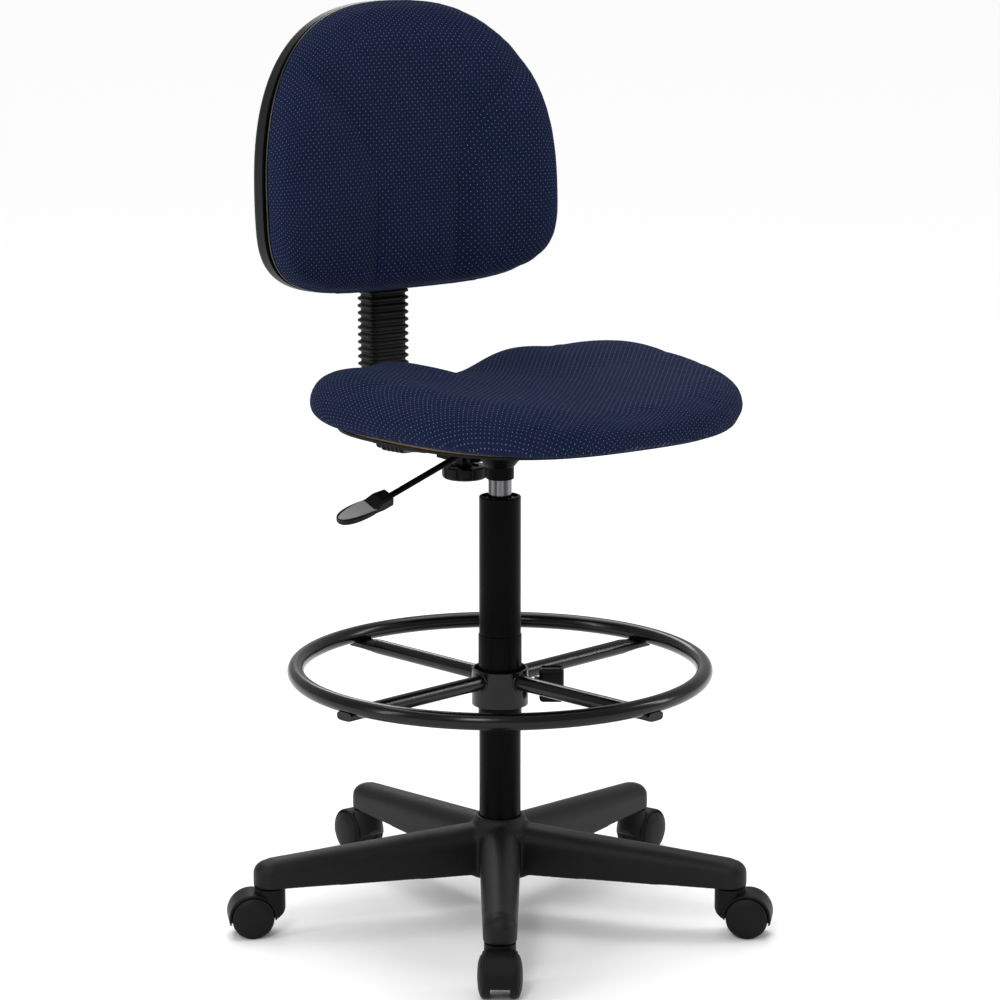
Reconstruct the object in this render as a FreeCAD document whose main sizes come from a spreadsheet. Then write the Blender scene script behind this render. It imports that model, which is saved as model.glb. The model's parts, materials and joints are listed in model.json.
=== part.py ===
import FreeCAD, Part
import Sketcher
import math
import os

from FreeCAD import Placement, Rotation, Vector

# Drafting chair on a five-star base.  Millimetres, +Z up, the sitter faces -Y, and the
# origin is the point on the floor under the column axis.

SIZES = {
    # five-star base
    "hub_low_z": 49, "hub_top_z": 121, "hub_rim_radius": 31, "hub_radius": 42, "hub_shoulder_z": 104,
    "arm_inner_end": 15, "arm_root_half": 24.5, "arm_root_low_z": 53, "arm_root_side_z": 91,
    "arm_root_top_z": 114.5, "arm_tip_half": 19.6, "arm_tip_low_z": 59, "arm_tip_side_z": 76,
    "arm_tip_top_z": 92.5, "arm_dome_drop": 1.2, "stem_circle": 287, "bore_low_radius": 24,
    "bore_low_z": 60,
    # casters
    "wheel_radius": 25, "wheel_inner": 11.3, "wheel_rim": 20.6, "wheel_outer": 25.8,
    "wheel_shoulder": 1.4, "trail": 21.7, "axle_radius": 3, "axle_half": 18, "axle_play": 0.05,
    "hood_radius": 28.6, "hood_half": 20.4, "hood_edge": 3.4, "hood_recess_radius": 26.2,
    "hood_web_half": 11, "hood_floor_z": 12, "hood_lip_z": 18, "hood_heel_z": 33, "neck_radius": 18.2,
    "neck_top_z": 57.4, "stem_radius": 5.5, "stem_low_z": 44, "stem_top_z": 84, "stem_flange_radius": 9,
    "stem_flange_top_z": 58.6,
    # column
    "column_radius": 25, "column_wall": 2, "tube_low_z": 62, "tube_top_z": 286, "socket_radius": 26,
    "socket_low_z": 240, "socket_top_z": 345, "outer_low_z": 288, "outer_top_z": 513.5,
    "outer_bore": 23.2, "outer_floor_top_z": 292, "outer_lip_bore": 21.4, "bush_low_z": 430,
    "bush_top_z": 510.5, "bush_bore": 14.06, "rod_radius": 5, "rod_low_z": 280, "rod_top_z": 434,
    "rod_head_radius": 10.9, "rod_head_low_z": 426, "rod_collar_radius": 10, "rod_collar_low_z": 296.6,
    "rod_collar_top_z": 299.5, "bearing_radius": 11, "bearing_low_z": 292, "bearing_top_z": 296.5,
    "bearing_bore": 5.4, "clip_radius": 9, "clip_low_z": 284, "clip_top_z": 286, "piston_radius": 14,
    "piston_low_z": 301, "piston_floor_z": 309, "piston_bore": 11, "piston_bore_top_z": 505,
    "piston_taper_z": 545, "piston_top_z": 580, "piston_top_radius": 13, "button_radius": 4.5,
    "button_low_z": 556, "button_top_z": 586.9, "button_play": 0.05,
    # foot ring
    "hoop_radius": 244.5, "hoop_tube": 10, "hoop_z": 303, "ring_hub_radius": 34, "ring_hub_bore": 31,
    "ring_hub_low_z": 258.9, "ring_hub_top_z": 303.7, "liner_low_z": 259.5, "liner_top_z": 295,
    "liner_bore": 26.06, "liner_play": 0.05, "spoke_radius": 9.2, "spoke_hub_z": 290.5,
    "spoke_tip_z": 291, "spoke_round_end": 212, "spoke_flat_start": 232, "spoke_flat_end": 253,
    "spoke_flat_half_width": 12, "spoke_flat_half_height": 5.2, "spoke_first_angle": -81,
    "ring_knob_angle": -36, "ring_knob_z": 283, "ring_knob_low": 41, "ring_knob_high": 76.5,
    "ring_knob_half_height": 20.8, "ring_knob_half_width": 12, "ring_knob_boss": 9,
    "ring_knob_boss_long": 6, "ring_knob_round": 5, "ring_knob_rim": 3, "ring_knob_recess": 2.2,
    "ring_stud_radius": 4, "ring_stud_low": 27, "ring_stud_high": 62,
    # seat mechanism
    "taper_low_z": 534, "taper_neck_radius": 16.75, "taper_neck_z": 548.5, "taper_mid_radius": 26,
    "taper_mid_z": 560, "taper_top_radius": 34, "taper_shoulder_z": 571, "taper_top_z": 602,
    "taper_chamber": 30, "taper_chamber_z": 571.5, "lever_slot_half": 5, "lever_slot_z": 575,
    "plate_low_z": 602, "plate_top_z": 608, "plate_half_x": 78, "plate_front_y": -98,
    "plate_rear_y": 112, "plate_corner": 14, "plate_hole_x": 62, "plate_hole_front_y": -82,
    "plate_hole_rear_y": 92, "pivot_x": -40, "pivot_z": 575.6, "pivot_radius": 2.5, "ear_gap": 5,
    "ear_thick": 3, "ear_half": 7, "lever_slope": 20.5, "lever_radius": 3.75, "lever_inner": 41,
    "lever_outer": 140, "lever_pin_half": 8.5, "handle_start": 126, "handle_bend": 6, "handle_roll": 22,
    "handle_collar_long": 27, "handle_long": 74, "handle_half_width": 13.5,
    "handle_collar_half_width": 10, "handle_collar_low": -8.5, "handle_collar_high": 6.5,
    "handle_paddle_low": -6, "handle_paddle_high": 0.5, "label_start": 27, "label_half_width": 12,
    "label_margin": 1.5, "label_thick": 0.8, "bar_half_width": 19, "bar_thick": 8, "bar_leg_z": 553,
    "bar_front_y": 34, "bar_upright_y": 245, "bar_bend": 42, "bar_top_z": 862, "bar_play": 0.4,
    "channel_wall": 2.2, "channel_front_y": 46, "channel_rear_y": 100, "channel_low_z": 546.4,
    "clamp_y": 72, "clamp_knob_radius": 27.5, "clamp_knob_low_z": 523, "clamp_knob_high_z": 538.5,
    "clamp_recess_radius": 17.5, "clamp_recess_deep": 3, "clamp_boss_radius": 8.1,
    "clamp_boss_top_z": 545.9, "clamp_lobes": 9, "clamp_lobe_radius": 5, "clamp_screw_radius": 4,
    "clamp_screw_low_z": 530, "clamp_screw_top_z": 548.7,
    # rubber boot over the bar
    "boot_ridge_half_width": 27, "boot_ridge_half_depth": 17.3, "boot_valley_half_width": 24,
    "boot_valley_half_depth": 14.2, "boot_wall": 1.6, "boot_pitch": 8.7, "boot_front_y": 132,
    "boot_ridge_start_y": 166, "boot_top_z": 753, "boot_mouth_half_width": 21.6,
    "boot_mouth_half_depth": 7.5,
    # back
    "back_half_width": 204.5, "back_up": 237, "back_down": 111.5, "back_mid_z": 848, "back_rim_y": 217,
    "back_bow": 32, "back_recline": 3, "shell_deep": 23, "shell_wall": 3, "shell_round": 11,
    "pocket_half_width": 38, "pocket_rear_y": 274, "pocket_top_z": 900, "pocket_wall": 3,
    "pocket_round": 8, "mouth_half_width": 30, "mouth_front_y": 222, "board_inset": 14,
    "board_thick": 10, "back_foam_thick": 50, "back_foam_inset": 3, "back_foam_round": 20,
    "bracket_half_width": 25, "bracket_front_y": 231, "bracket_rear_y": 257, "bracket_low_z": 762,
    "bracket_high_z": 890, "bracket_play": 0.5, "back_knob_z": 806, "back_knob_radius": 24,
    "back_knob_front_y": 276, "back_knob_rear_y": 290, "back_stud_radius": 4,
    "back_stud_front_y": 250.2, "back_stud_play": 0.1, "back_recess_radius": 12,
    "back_recess_deep": 0.5,
    # seat
    "seat_half_width": 247, "seat_half_depth": 216.5, "seat_mid_y": -76.6, "seat_power": 2.84,
    "seat_taper": 0.126, "seat_low_z": 610.5, "seat_wide_z": 632, "seat_top_z": 669,
    "seat_low_inset": 23, "seat_board_inset": 34, "seat_board_top_z": 622.5, "pan_low_z": 608,
    "pan_inset": 28, "pan_thick": 2.5, "bolt_radius": 4, "bolt_head_radius": 7, "bolt_head_high": 5,
    "bolt_top_z": 620,
}

ARM_ANGLES = (90, 162, 234, 306, 18)
CASTER_SWIVELS = (0, -9, 0, 9, 0)


class Size:
    """A length that carries its value together with the sheet expression it comes from."""

    def __init__(self, value, text):
        self.value = value
        self.text = text

    def __float__(self):
        return float(self.value)

    def __add__(self, other):
        return join(self, "+", other)

    def __sub__(self, other):
        return join(self, "-", other)

    def __mul__(self, other):
        return join(self, "*", other)

    def __truediv__(self, other):
        return join(self, "/", other)

    def __neg__(self):
        return join(as_size(0), "-", self)


def as_size(item):
    if isinstance(item, Size):
        return item
    return Size(float(item), "(%.6f)" % item)


def join(left, sign, right):
    right = as_size(right)
    results = {
        "+": lambda: left.value + right.value,
        "-": lambda: left.value - right.value,
        "*": lambda: left.value * right.value,
        "/": lambda: left.value / right.value,
    }
    return Size(results[sign](), "(%s %s %s)" % (left.text, sign, right.text))


class Sheet:
    """The spreadsheet of sizes; an attribute gives the Size with that alias."""

    def __init__(self, doc):
        self.cells = doc.addObject("Spreadsheet::Sheet", "Dims")
        for row, (alias, value) in enumerate(SIZES.items(), start=1):
            self.cells.set("A%d" % row, alias)
            self.cells.set("B%d" % row, str(value))
            self.cells.setAlias("B%d" % row, alias)
        doc.recompute()

    def __getattr__(self, alias):
        return Size(float(self.cells.get(alias)), "Dims.%s" % alias)


DOC = FreeCAD.newDocument("drafting_chair")
S = Sheet(DOC)
NODES = []


# ---------------------------------------------------------------- document helpers

def keep(item, name, place=None):
    """Give a finished sub-part its node name and its place."""
    item.Label = name
    if place is not None:
        item.Placement = place
    NODES.append(item)
    return item


def new_body(name):
    return DOC.addObject("PartDesign::Body", name + "_body")


def origin_plane(body, role):
    for feature in body.Origin.OriginFeatures:
        if feature.Role == role:
            return feature
    raise ValueError("no plane " + role)


def closed_sketch(body, role, name, points):
    """A closed outline whose corners are held to the sheet, one X and one Y each."""
    sketch = body.newObject("Sketcher::SketchObject", name)
    sketch.AttachmentSupport = [(origin_plane(body, role), "")]
    sketch.MapMode = "FlatFace"
    corners = [(as_size(x), as_size(y)) for x, y in points]
    count = len(corners)
    spots = [Vector(float(x), float(y), 0) for x, y in corners]
    for index in range(count):
        sketch.addGeometry(Part.LineSegment(spots[index], spots[(index + 1) % count]), False)
    for index in range(count):
        sketch.addConstraint(Sketcher.Constraint("Coincident", index, 2, (index + 1) % count, 1))
    for index, (x, y) in enumerate(corners):
        across = sketch.addConstraint(Sketcher.Constraint("DistanceX", -1, 1, index, 1, float(x)))
        sketch.setExpression("Constraints[%d]" % across, x.text)
        along = sketch.addConstraint(Sketcher.Constraint("DistanceY", -1, 1, index, 1, float(y)))
        sketch.setExpression("Constraints[%d]" % along, y.text)
    return sketch


def turned(name, points, place=None):
    """A body turned about its own Z axis from an outline of (radius, height) corners."""
    body = new_body(name)
    sketch = closed_sketch(body, "XZ_Plane", name + "_profile", points)
    turn = body.newObject("PartDesign::Revolution", name + "_turn")
    turn.Profile = sketch
    turn.ReferenceAxis = (sketch, ["V_Axis"])
    turn.Angle = 360
    sketch.Visibility = False
    body.Tip = turn
    return keep(body, name, place)


def solid_node(name, shape, place=None):
    """A sub-part whose shape comes straight from Part functions."""
    item = DOC.addObject("Part::Feature", name)
    item.Shape = shape
    return keep(item, name, place)


# ---------------------------------------------------------------- shape helpers

def value(*sizes):
    return [float(size) for size in sizes]


def box(x0, x1, y0, y1, z0, z1):
    return Part.makeBox(x1 - x0, y1 - y0, z1 - z0, Vector(x0, y0, z0))


def rod(start, end, radius):
    line = end - start
    return Part.makeCylinder(radius, line.Length, start, line)


def turned_shape(points, centre=Vector(0, 0, 0)):
    """Turn (radius, height) corners about the vertical through centre."""
    corners = [centre + Vector(radius, 0, height) for radius, height in points]
    face = Part.Face(Part.makePolygon(corners + [corners[0]]))
    return face.revolve(centre, Vector(0, 0, 1), 360)


def spline_wire(points):
    curve = Part.BSplineCurve()
    curve.interpolate(points, PeriodicFlag=True)
    return Part.Wire([curve.toShape()])


def signed_power(number, power):
    return math.copysign(abs(number) ** power, number)


def oval(half_a, half_b, power, count=32):
    """Points of a super-ellipse in its own plane."""
    points = []
    for step in range(count):
        angle = 2 * math.pi * (step + 0.5) / count
        a = half_a * signed_power(math.cos(angle), 2 / power)
        b = half_b * signed_power(math.sin(angle), 2 / power)
        points.append((a, b))
    return points


def lofted(wires, ruled=False):
    return Part.makeLoft(wires, True, ruled)


def rounded(shape, radius, picks):
    edges = [edge for edge in shape.Edges if picks(edge)]
    return shape.makeFillet(radius, edges)


# ---------------------------------------------------------------- five-star base

def arm_section(distance, half, low, side, top):
    """Flat-bottomed, round-topped section of an arm at a distance from the column."""
    corners = [Vector(distance, half, side), Vector(distance, half, low),
               Vector(distance, -half, low), Vector(distance, -half, side)]
    centre = Vector(distance, 0, side)
    across, up = Vector(distance, half, side), Vector(distance, 0, top)
    if half > top - side:
        ellipse = Part.Ellipse(across, up, centre)
        arc = Part.ArcOfEllipse(ellipse, 0, math.pi)
    else:
        ellipse = Part.Ellipse(up, Vector(distance, -half, side), centre)
        arc = Part.ArcOfEllipse(ellipse, -math.pi / 2, math.pi / 2)
    edges = [Part.makeLine(corners[0], corners[1]), Part.makeLine(corners[1], corners[2]),
             Part.makeLine(corners[2], corners[3]), arc.toShape()]
    return Part.Wire(Part.__sortEdges__(edges))


def arm_tip(centre, half, low, side, top):
    """Rounded end of an arm: the arm's own half section turned about the stem axis."""
    points = [(0, low), (half, low), (half, side)]
    for step in range(1, 9):
        angle = math.pi / 2 * step / 8
        points.append((half * math.cos(angle), side + (top - side) * math.sin(angle)))
    points[-1] = (0, top)
    return turned_shape(points, centre)


def base_star():
    hub_low, hub_top, rim, radius, shoulder = value(
        S.hub_low_z, S.hub_top_z, S.hub_rim_radius, S.hub_radius, S.hub_shoulder_z)
    root = value(S.arm_root_half, S.arm_root_low_z, S.arm_root_side_z, S.arm_root_top_z)
    tip = value(S.arm_tip_half, S.arm_tip_low_z, S.arm_tip_side_z, S.arm_tip_top_z)
    inner, circle, drop = value(S.arm_inner_end, S.stem_circle, S.arm_dome_drop)
    bore, bore_low, column = value(S.bore_low_radius, S.bore_low_z, S.column_radius)
    stem, stem_top = value(S.stem_radius, S.stem_top_z)

    star = turned_shape([(0, hub_low), (radius - 2, hub_low), (radius, hub_low + 2), (radius, shoulder),
                         (rim + 3.5, shoulder + 6), (rim, hub_top - 3), (rim - 1.5, hub_top), (0, hub_top)])
    arm = lofted([arm_section(inner, *root), arm_section(circle, *tip)], ruled=True)
    end = arm_tip(Vector(circle, 0, 0), tip[0], tip[1], tip[2], tip[3] - drop)
    arm = arm.fuse(end)
    hole = Part.makeCylinder(stem + 0.05, stem_top + 1 - tip[1] + 5, Vector(circle, 0, tip[1] - 5))
    arm = arm.cut(hole)
    arms = []
    for angle in ARM_ANGLES:
        turned_arm = arm.copy()
        turned_arm.rotate(Vector(0, 0, 0), Vector(0, 0, 1), angle)
        arms.append(turned_arm)
    star = star.fuse(arms)
    cone = Part.makeCone(bore, column, hub_top - bore_low, Vector(0, 0, bore_low))
    well = Part.makeCylinder(bore - 1.5, bore_low - hub_low + 2, Vector(0, 0, hub_low - 1))
    return solid_node("base_star", star.cut([cone, well]).removeSplitter())


# ---------------------------------------------------------------- casters

def caster_place(angle, swivel):
    """Stem axis at the end of one arm, local +X pointing the way the caster trails."""
    reach = Rotation(Vector(0, 0, 1), angle).multVec(Vector(float(S.stem_circle), 0, 0))
    return Placement(reach, Rotation(Vector(0, 0, 1), angle + swivel))


def caster_stem(number, place):
    turned("caster_stem_%d" % number, [
        (0, S.stem_low_z), (S.stem_radius, S.stem_low_z),
        (S.stem_radius, S.neck_top_z), (S.stem_flange_radius, S.neck_top_z),
        (S.stem_flange_radius, S.stem_flange_top_z), (S.stem_radius, S.stem_flange_top_z),
        (S.stem_radius, S.stem_top_z - 1), (S.stem_radius - 1, S.stem_top_z), (0, S.stem_top_z)], place)


def hood_shape():
    trail, axle_z, radius, half = value(S.trail, S.wheel_radius, S.hood_radius, S.hood_half)
    recess, web, edge = value(S.hood_recess_radius, S.hood_web_half, S.hood_edge)
    floor, lip, heel = value(S.hood_floor_z, S.hood_lip_z, S.hood_heel_z)
    neck, neck_top = value(S.neck_radius, S.neck_top_z)
    stem, stem_low, axle = value(S.stem_radius, S.stem_low_z, S.axle_radius)
    across = Vector(0, 1, 0)

    barrel = Part.makeCylinder(radius, 2 * half, Vector(trail, -half, axle_z), across)
    barrel = rounded(barrel, edge, lambda rim: abs(abs(rim.BoundBox.YMax) - half) < 0.1 and
                     rim.BoundBox.YLength < 0.1)
    post = Part.makeCylinder(neck, neck_top - floor, Vector(0, 0, floor))
    hood = barrel.fuse(post)
    for side in (-1, 1):
        start = Vector(trail, web if side > 0 else -web, axle_z)
        hood = hood.cut(Part.makeCylinder(recess, 40, start, Vector(0, side, 0)))
    profile = [(-60, heel), (-neck, heel), (-neck + 3, heel - 5), (-neck + 9, heel - 9), (-4, 22),
               (4, floor + 0.5), (trail, floor), (trail + 14, floor + 3), (trail + 24, lip), (90, lip),
               (90, -60), (-60, -60)]
    corners = [Vector(x, -60, z) for x, z in profile]
    underside = Part.Face(Part.makePolygon(corners + [corners[0]])).extrude(Vector(0, 120, 0))
    hood = hood.cut(underside)
    shaft = Part.makeCylinder(axle, 2 * web + 2, Vector(trail, -web - 1, axle_z), across)
    pin = Part.makeCylinder(stem, neck_top - stem_low + 1, Vector(0, 0, stem_low))
    return hood.cut([shaft, pin])


def caster_axle(number, place):
    centre = Placement(Vector(float(S.trail), 0, float(S.wheel_radius)), Rotation(Vector(1, 0, 0), 90))
    turned("caster_axle_%d" % number, [
        (0, -S.axle_half), (S.axle_radius - 0.5, -S.axle_half), (S.axle_radius, -S.axle_half + 0.5),
        (S.axle_radius, S.axle_half - 0.5), (S.axle_radius - 0.5, S.axle_half), (0, S.axle_half)],
        place.multiply(centre))


def caster_wheel(name, side, place):
    """One wheel; its axis is the local Z of the body, pointing away from the hood."""
    tilt = Rotation(Vector(1, 0, 0), -90 * side)
    centre = Placement(Vector(float(S.trail), 0, float(S.wheel_radius)), tilt)
    rim, edge, step = S.wheel_radius, S.wheel_rim, S.wheel_shoulder
    bore = S.axle_radius + S.axle_play
    turned(name, [
        (bore, S.wheel_inner), (rim - step, S.wheel_inner), (rim - 0.4, S.wheel_inner + 0.5),
        (rim, S.wheel_inner + step), (rim, edge - 1.2), (rim - 0.5, edge), (rim - 1.5, edge + 1.1),
        (rim - 3.4, edge + 2.2), (rim - 6.4, edge + 3.3), (rim - 10.5, edge + 4.3), (rim - 16, edge + 4.9),
        (rim - 21, S.wheel_outer), (0, S.wheel_outer), (0, S.axle_half + 0.3), (bore, S.axle_half + 0.3)],
        place.multiply(centre))


def casters():
    hood = hood_shape()
    for number, (angle, swivel) in enumerate(zip(ARM_ANGLES, CASTER_SWIVELS), start=1):
        place = caster_place(angle, swivel)
        caster_stem(number, place)
        solid_node("caster_hood_%d" % number, hood.copy(), place)
        caster_axle(number, place)
        caster_wheel("caster_wheel_left_%d" % number, 1, place)
        caster_wheel("caster_wheel_right_%d" % number, -1, place)


# ---------------------------------------------------------------- column and gas lift

def column():
    radius, wall = S.column_radius, S.column_wall
    turned("extension_tube", [
        (S.bore_low_radius - 1.5, S.tube_low_z), (S.bore_low_radius, S.tube_low_z), (radius, S.hub_top_z),
        (radius, S.tube_top_z), (radius - wall, S.tube_top_z), (radius - wall, S.hub_top_z)])
    turned("extension_socket", [
        (radius, S.socket_low_z), (S.socket_radius, S.socket_low_z + 1),
        (S.socket_radius, S.socket_top_z - 0.5), (S.socket_radius - 0.4, S.socket_top_z),
        (radius, S.socket_top_z)])
    turned("gas_outer_tube", [
        (S.rod_radius + 0.05, S.outer_low_z), (radius, S.outer_low_z), (radius, S.outer_top_z - 1.2),
        (radius - 0.8, S.outer_top_z - 0.2), (radius - 1.6, S.outer_top_z),
        (S.outer_lip_bore, S.outer_top_z),
        (S.outer_lip_bore, S.bush_top_z), (S.outer_bore, S.bush_top_z), (S.outer_bore, S.outer_floor_top_z),
        (S.rod_radius + 0.05, S.outer_floor_top_z)])
    turned("column_guide_bush", [
        (S.bush_bore, S.bush_low_z), (S.outer_bore, S.bush_low_z), (S.outer_bore, S.bush_top_z),
        (S.bush_bore + 1, S.bush_top_z), (S.bush_bore, S.bush_top_z - 1)])
    turned("thrust_bearing", [
        (S.bearing_bore, S.bearing_low_z), (S.bearing_radius, S.bearing_low_z),
        (S.bearing_radius, S.bearing_top_z), (S.bearing_bore, S.bearing_top_z)])
    turned("retaining_clip", [
        (S.rod_radius, S.clip_low_z), (S.clip_radius, S.clip_low_z),
        (S.clip_radius, S.clip_top_z), (S.rod_radius, S.clip_top_z)])
    turned("piston_rod", [
        (0, S.rod_low_z), (S.rod_radius, S.rod_low_z), (S.rod_radius, S.rod_collar_low_z),
        (S.rod_collar_radius, S.rod_collar_low_z), (S.rod_collar_radius, S.rod_collar_top_z),
        (S.rod_radius, S.rod_collar_top_z), (S.rod_radius, S.rod_head_low_z),
        (S.rod_head_radius, S.rod_head_low_z), (S.rod_head_radius, S.rod_top_z), (0, S.rod_top_z)])
    turned("gas_cylinder", [
        (S.rod_radius + 0.05, S.piston_low_z), (S.piston_radius - 1, S.piston_low_z),
        (S.piston_radius, S.piston_low_z + 1), (S.piston_radius, S.piston_taper_z),
        (S.piston_top_radius, S.piston_top_z), (S.button_radius + S.button_play, S.piston_top_z),
        (S.button_radius + S.button_play, S.button_low_z - 6), (0, S.button_low_z - 6),
        (0, S.piston_bore_top_z),
        (S.piston_bore, S.piston_bore_top_z), (S.piston_bore, S.piston_floor_z),
        (S.rod_radius + 0.05, S.piston_floor_z)])
    turned("release_button", [
        (0, S.button_low_z), (S.button_radius, S.button_low_z), (S.button_radius, S.button_top_z - 1),
        (S.button_radius - 1, S.button_top_z), (0, S.button_top_z)])


# ---------------------------------------------------------------- foot ring

def spoke_shape():
    """Round tube that is pressed flat where it passes under the hoop."""
    hub, radius, flat_start, flat_end = value(
        S.ring_hub_radius, S.spoke_radius, S.spoke_flat_start, S.spoke_flat_end)
    hub_z, tip_z, round_end = value(S.spoke_hub_z, S.spoke_tip_z, S.spoke_round_end)
    half_width, half_height = value(S.spoke_flat_half_width, S.spoke_flat_half_height)
    rise = (tip_z - hub_z) / (flat_start - hub)
    sections = []
    stations = [(hub - 2, radius, radius, 2.0), (round_end, radius, radius, 2.0),
                (flat_start - 6, half_width - 1, half_height + 1.6, 2.6),
                (flat_start, half_width, half_height, 3.6), (flat_end, half_width, half_height, 3.6)]
    for distance, wide, high, power in stations:
        height = min(hub_z + rise * (distance - hub), tip_z)
        points = [Vector(distance, a, height + b) for a, b in oval(wide, high, power, 24)]
        sections.append(spline_wire(points))
    return lofted(sections, ruled=True)


def foot_ring():
    turned("ring_liner", [
        (S.liner_bore, S.liner_low_z), (S.ring_hub_bore - S.liner_play, S.liner_low_z),
        (S.ring_hub_bore - S.liner_play, S.liner_top_z), (S.liner_bore, S.liner_top_z)])

    hub_radius, hub_bore, hub_low, hub_top = value(
        S.ring_hub_radius, S.ring_hub_bore, S.ring_hub_low_z, S.ring_hub_top_z)
    hub = turned_shape([(hub_bore, hub_low), (hub_radius - 0.6, hub_low), (hub_radius, hub_low + 0.6),
                        (hub_radius, hub_top - 0.8), (hub_radius - 0.8, hub_top), (hub_bore + 0.6, hub_top),
                        (hub_bore, hub_top - 0.6)])
    knob_angle, knob_z, stud = value(S.ring_knob_angle, S.ring_knob_z, S.ring_stud_radius)
    aim = Rotation(Vector(0, 0, 1), knob_angle)
    outward = aim.multVec(Vector(1, 0, 0))
    hole = Part.makeCylinder(stud + 0.1, 40, Vector(0, 0, knob_z) + outward * 10, outward)
    solid_node("ring_hub", hub.cut(hole))

    hoop = DOC.addObject("Part::Torus", "ring_hoop")
    hoop.setExpression("Radius1", S.hoop_radius.text)
    hoop.setExpression("Radius2", S.hoop_tube.text)
    hoop.setExpression("Placement.Base.z", S.hoop_z.text)
    keep(hoop, "ring_hoop")

    spoke = spoke_shape().cut(Part.makeCylinder(hub_radius, 80, Vector(0, 0, hub_low - 10)))
    hoop_radius, hoop_tube, hoop_z = value(S.hoop_radius, S.hoop_tube, S.hoop_z)
    spoke = spoke.cut(Part.makeTorus(hoop_radius, hoop_tube, Vector(0, 0, hoop_z)))
    spokes = []
    for step in range(4):
        turned_spoke = spoke.copy()
        turned_spoke.rotate(Vector(0, 0, 0), Vector(0, 0, 1), float(S.spoke_first_angle) + 90 * step)
        spokes.append(turned_spoke)
    solid_node("ring_spokes", Part.makeCompound(spokes))

    place = Placement(Vector(0, 0, knob_z), aim)
    low, high, tall, wide = value(
        S.ring_knob_low, S.ring_knob_high, S.ring_knob_half_height, S.ring_knob_half_width)
    boss, neck = value(S.ring_knob_boss, S.ring_knob_boss_long)
    curve, rim, deep = value(S.ring_knob_round, S.ring_knob_rim, S.ring_knob_recess)
    wing = box(low + neck, high, -wide, wide, -tall, tall)
    wing = rounded(wing, curve, lambda edge: True)
    hollow = box(low + neck + rim, high - rim, -wide + rim, wide - rim, tall - deep, tall + 1)
    hollow = rounded(hollow, curve - 1, lambda edge: abs(edge.Length - deep - 1) < 0.01)
    wing = wing.cut(hollow)
    waist = Part.makeCylinder(boss, neck + 8, Vector(low, 0, 0), Vector(1, 0, 0))
    stud_low, stud_high = value(S.ring_stud_low, S.ring_stud_high)
    bore = Part.makeCylinder(stud, stud_high - low + 1, Vector(low - 1, 0, 0), Vector(1, 0, 0))
    solid_node("ring_knob", wing.fuse(waist).cut(bore), place)
    body = turned("ring_knob_stud", [
        (0, S.ring_stud_low + 4.3), (S.ring_stud_radius, S.ring_stud_low + 4.3),
        (S.ring_stud_radius, S.ring_stud_high), (0, S.ring_stud_high)])
    body.Placement = place.multiply(Placement(Vector(0, 0, 0), Rotation(Vector(0, 1, 0), 90)))


# ---------------------------------------------------------------- seat mechanism

def taper_socket():
    neck, low, mid, mid_z = value(S.taper_neck_radius, S.taper_low_z, S.taper_mid_radius, S.taper_mid_z)
    top, top_z = value(S.taper_top_radius, S.taper_top_z)
    neck_z, shoulder, chamber, chamber_z = value(
        S.taper_neck_z, S.taper_shoulder_z, S.taper_chamber, S.taper_chamber_z)
    shell = turned_shape([(0, low), (neck - 0.8, low), (neck, low + 0.8), (neck, neck_z), (mid, mid_z),
                          (top, shoulder), (top, top_z), (0, top_z)])
    piston, taper_z, piston_top, top_radius = value(
        S.piston_radius, S.piston_taper_z, S.piston_top_z, S.piston_top_radius)
    seat = turned_shape([
        (0, low - 1), (piston, low - 1), (piston, taper_z), (top_radius, piston_top), (0, piston_top)])
    room = Part.makeCylinder(chamber, top_z - chamber_z + 1, Vector(0, 0, chamber_z))
    lip = top_radius + 3.5
    collar = turned_shape([(0, chamber_z - 1), (lip, chamber_z - 1), (lip, piston_top), (0, piston_top)])
    window = box(-top - 1, -chamber + 2, -7, 7, chamber_z, top_z + 1)
    slot_half, slot_z = value(S.lever_slot_half, S.lever_slot_z)
    slot = box(-chamber, 0, -slot_half, slot_half, slot_z, top_z + 1)
    shape = shell.cut([room.cut(collar), window, slot]).cut(seat)
    solid_node("taper_socket", shape)


def seat_plate():
    half, front, rear, low, high = value(
        S.plate_half_x, S.plate_front_y, S.plate_rear_y, S.plate_low_z, S.plate_top_z)
    corner, bolt = value(S.plate_corner, S.bolt_radius)
    plate = box(-half, half, front, rear, low, high)
    plate = rounded(plate, corner, lambda edge: abs(edge.Length - (high - low)) < 0.01 and
                    abs(abs(edge.CenterOfMass.x) - half) < 0.01)
    holes = [Part.makeCylinder(bolt, 20, Vector(x, y, low - 5)) for x, y in bolt_spots()]
    window = box(-26, 26, -26, 26, low - 1, high - 2)
    plate = plate.cut(holes + [window])
    pivot_x, pivot_z, pin, gap, thick, ear = value(
        S.pivot_x, S.pivot_z, S.pivot_radius, S.ear_gap, S.ear_thick, S.ear_half)
    for side in (-1, 1):
        inner = side * gap
        outer = side * (gap + thick)
        tab = box(pivot_x - ear, pivot_x + ear, min(inner, outer), max(inner, outer), pivot_z, low)
        nose = Part.makeCylinder(ear, thick, Vector(pivot_x, min(inner, outer), pivot_z), Vector(0, 1, 0))
        plate = plate.fuse(tab.fuse(nose))
    axle = Part.makeCylinder(pin + 0.05, 40, Vector(pivot_x, -20, pivot_z), Vector(0, 1, 0))
    chamber = Part.makeCylinder(float(S.taper_top_radius), low - 500, Vector(0, 0, 500))
    solid_node("seat_plate", plate.cut([axle, chamber]).removeSplitter())


def bolt_spots():
    across, front, rear = value(S.plate_hole_x, S.plate_hole_front_y, S.plate_hole_rear_y)
    return [(-across, front), (across, front), (-across, rear), (across, rear)]


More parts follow.
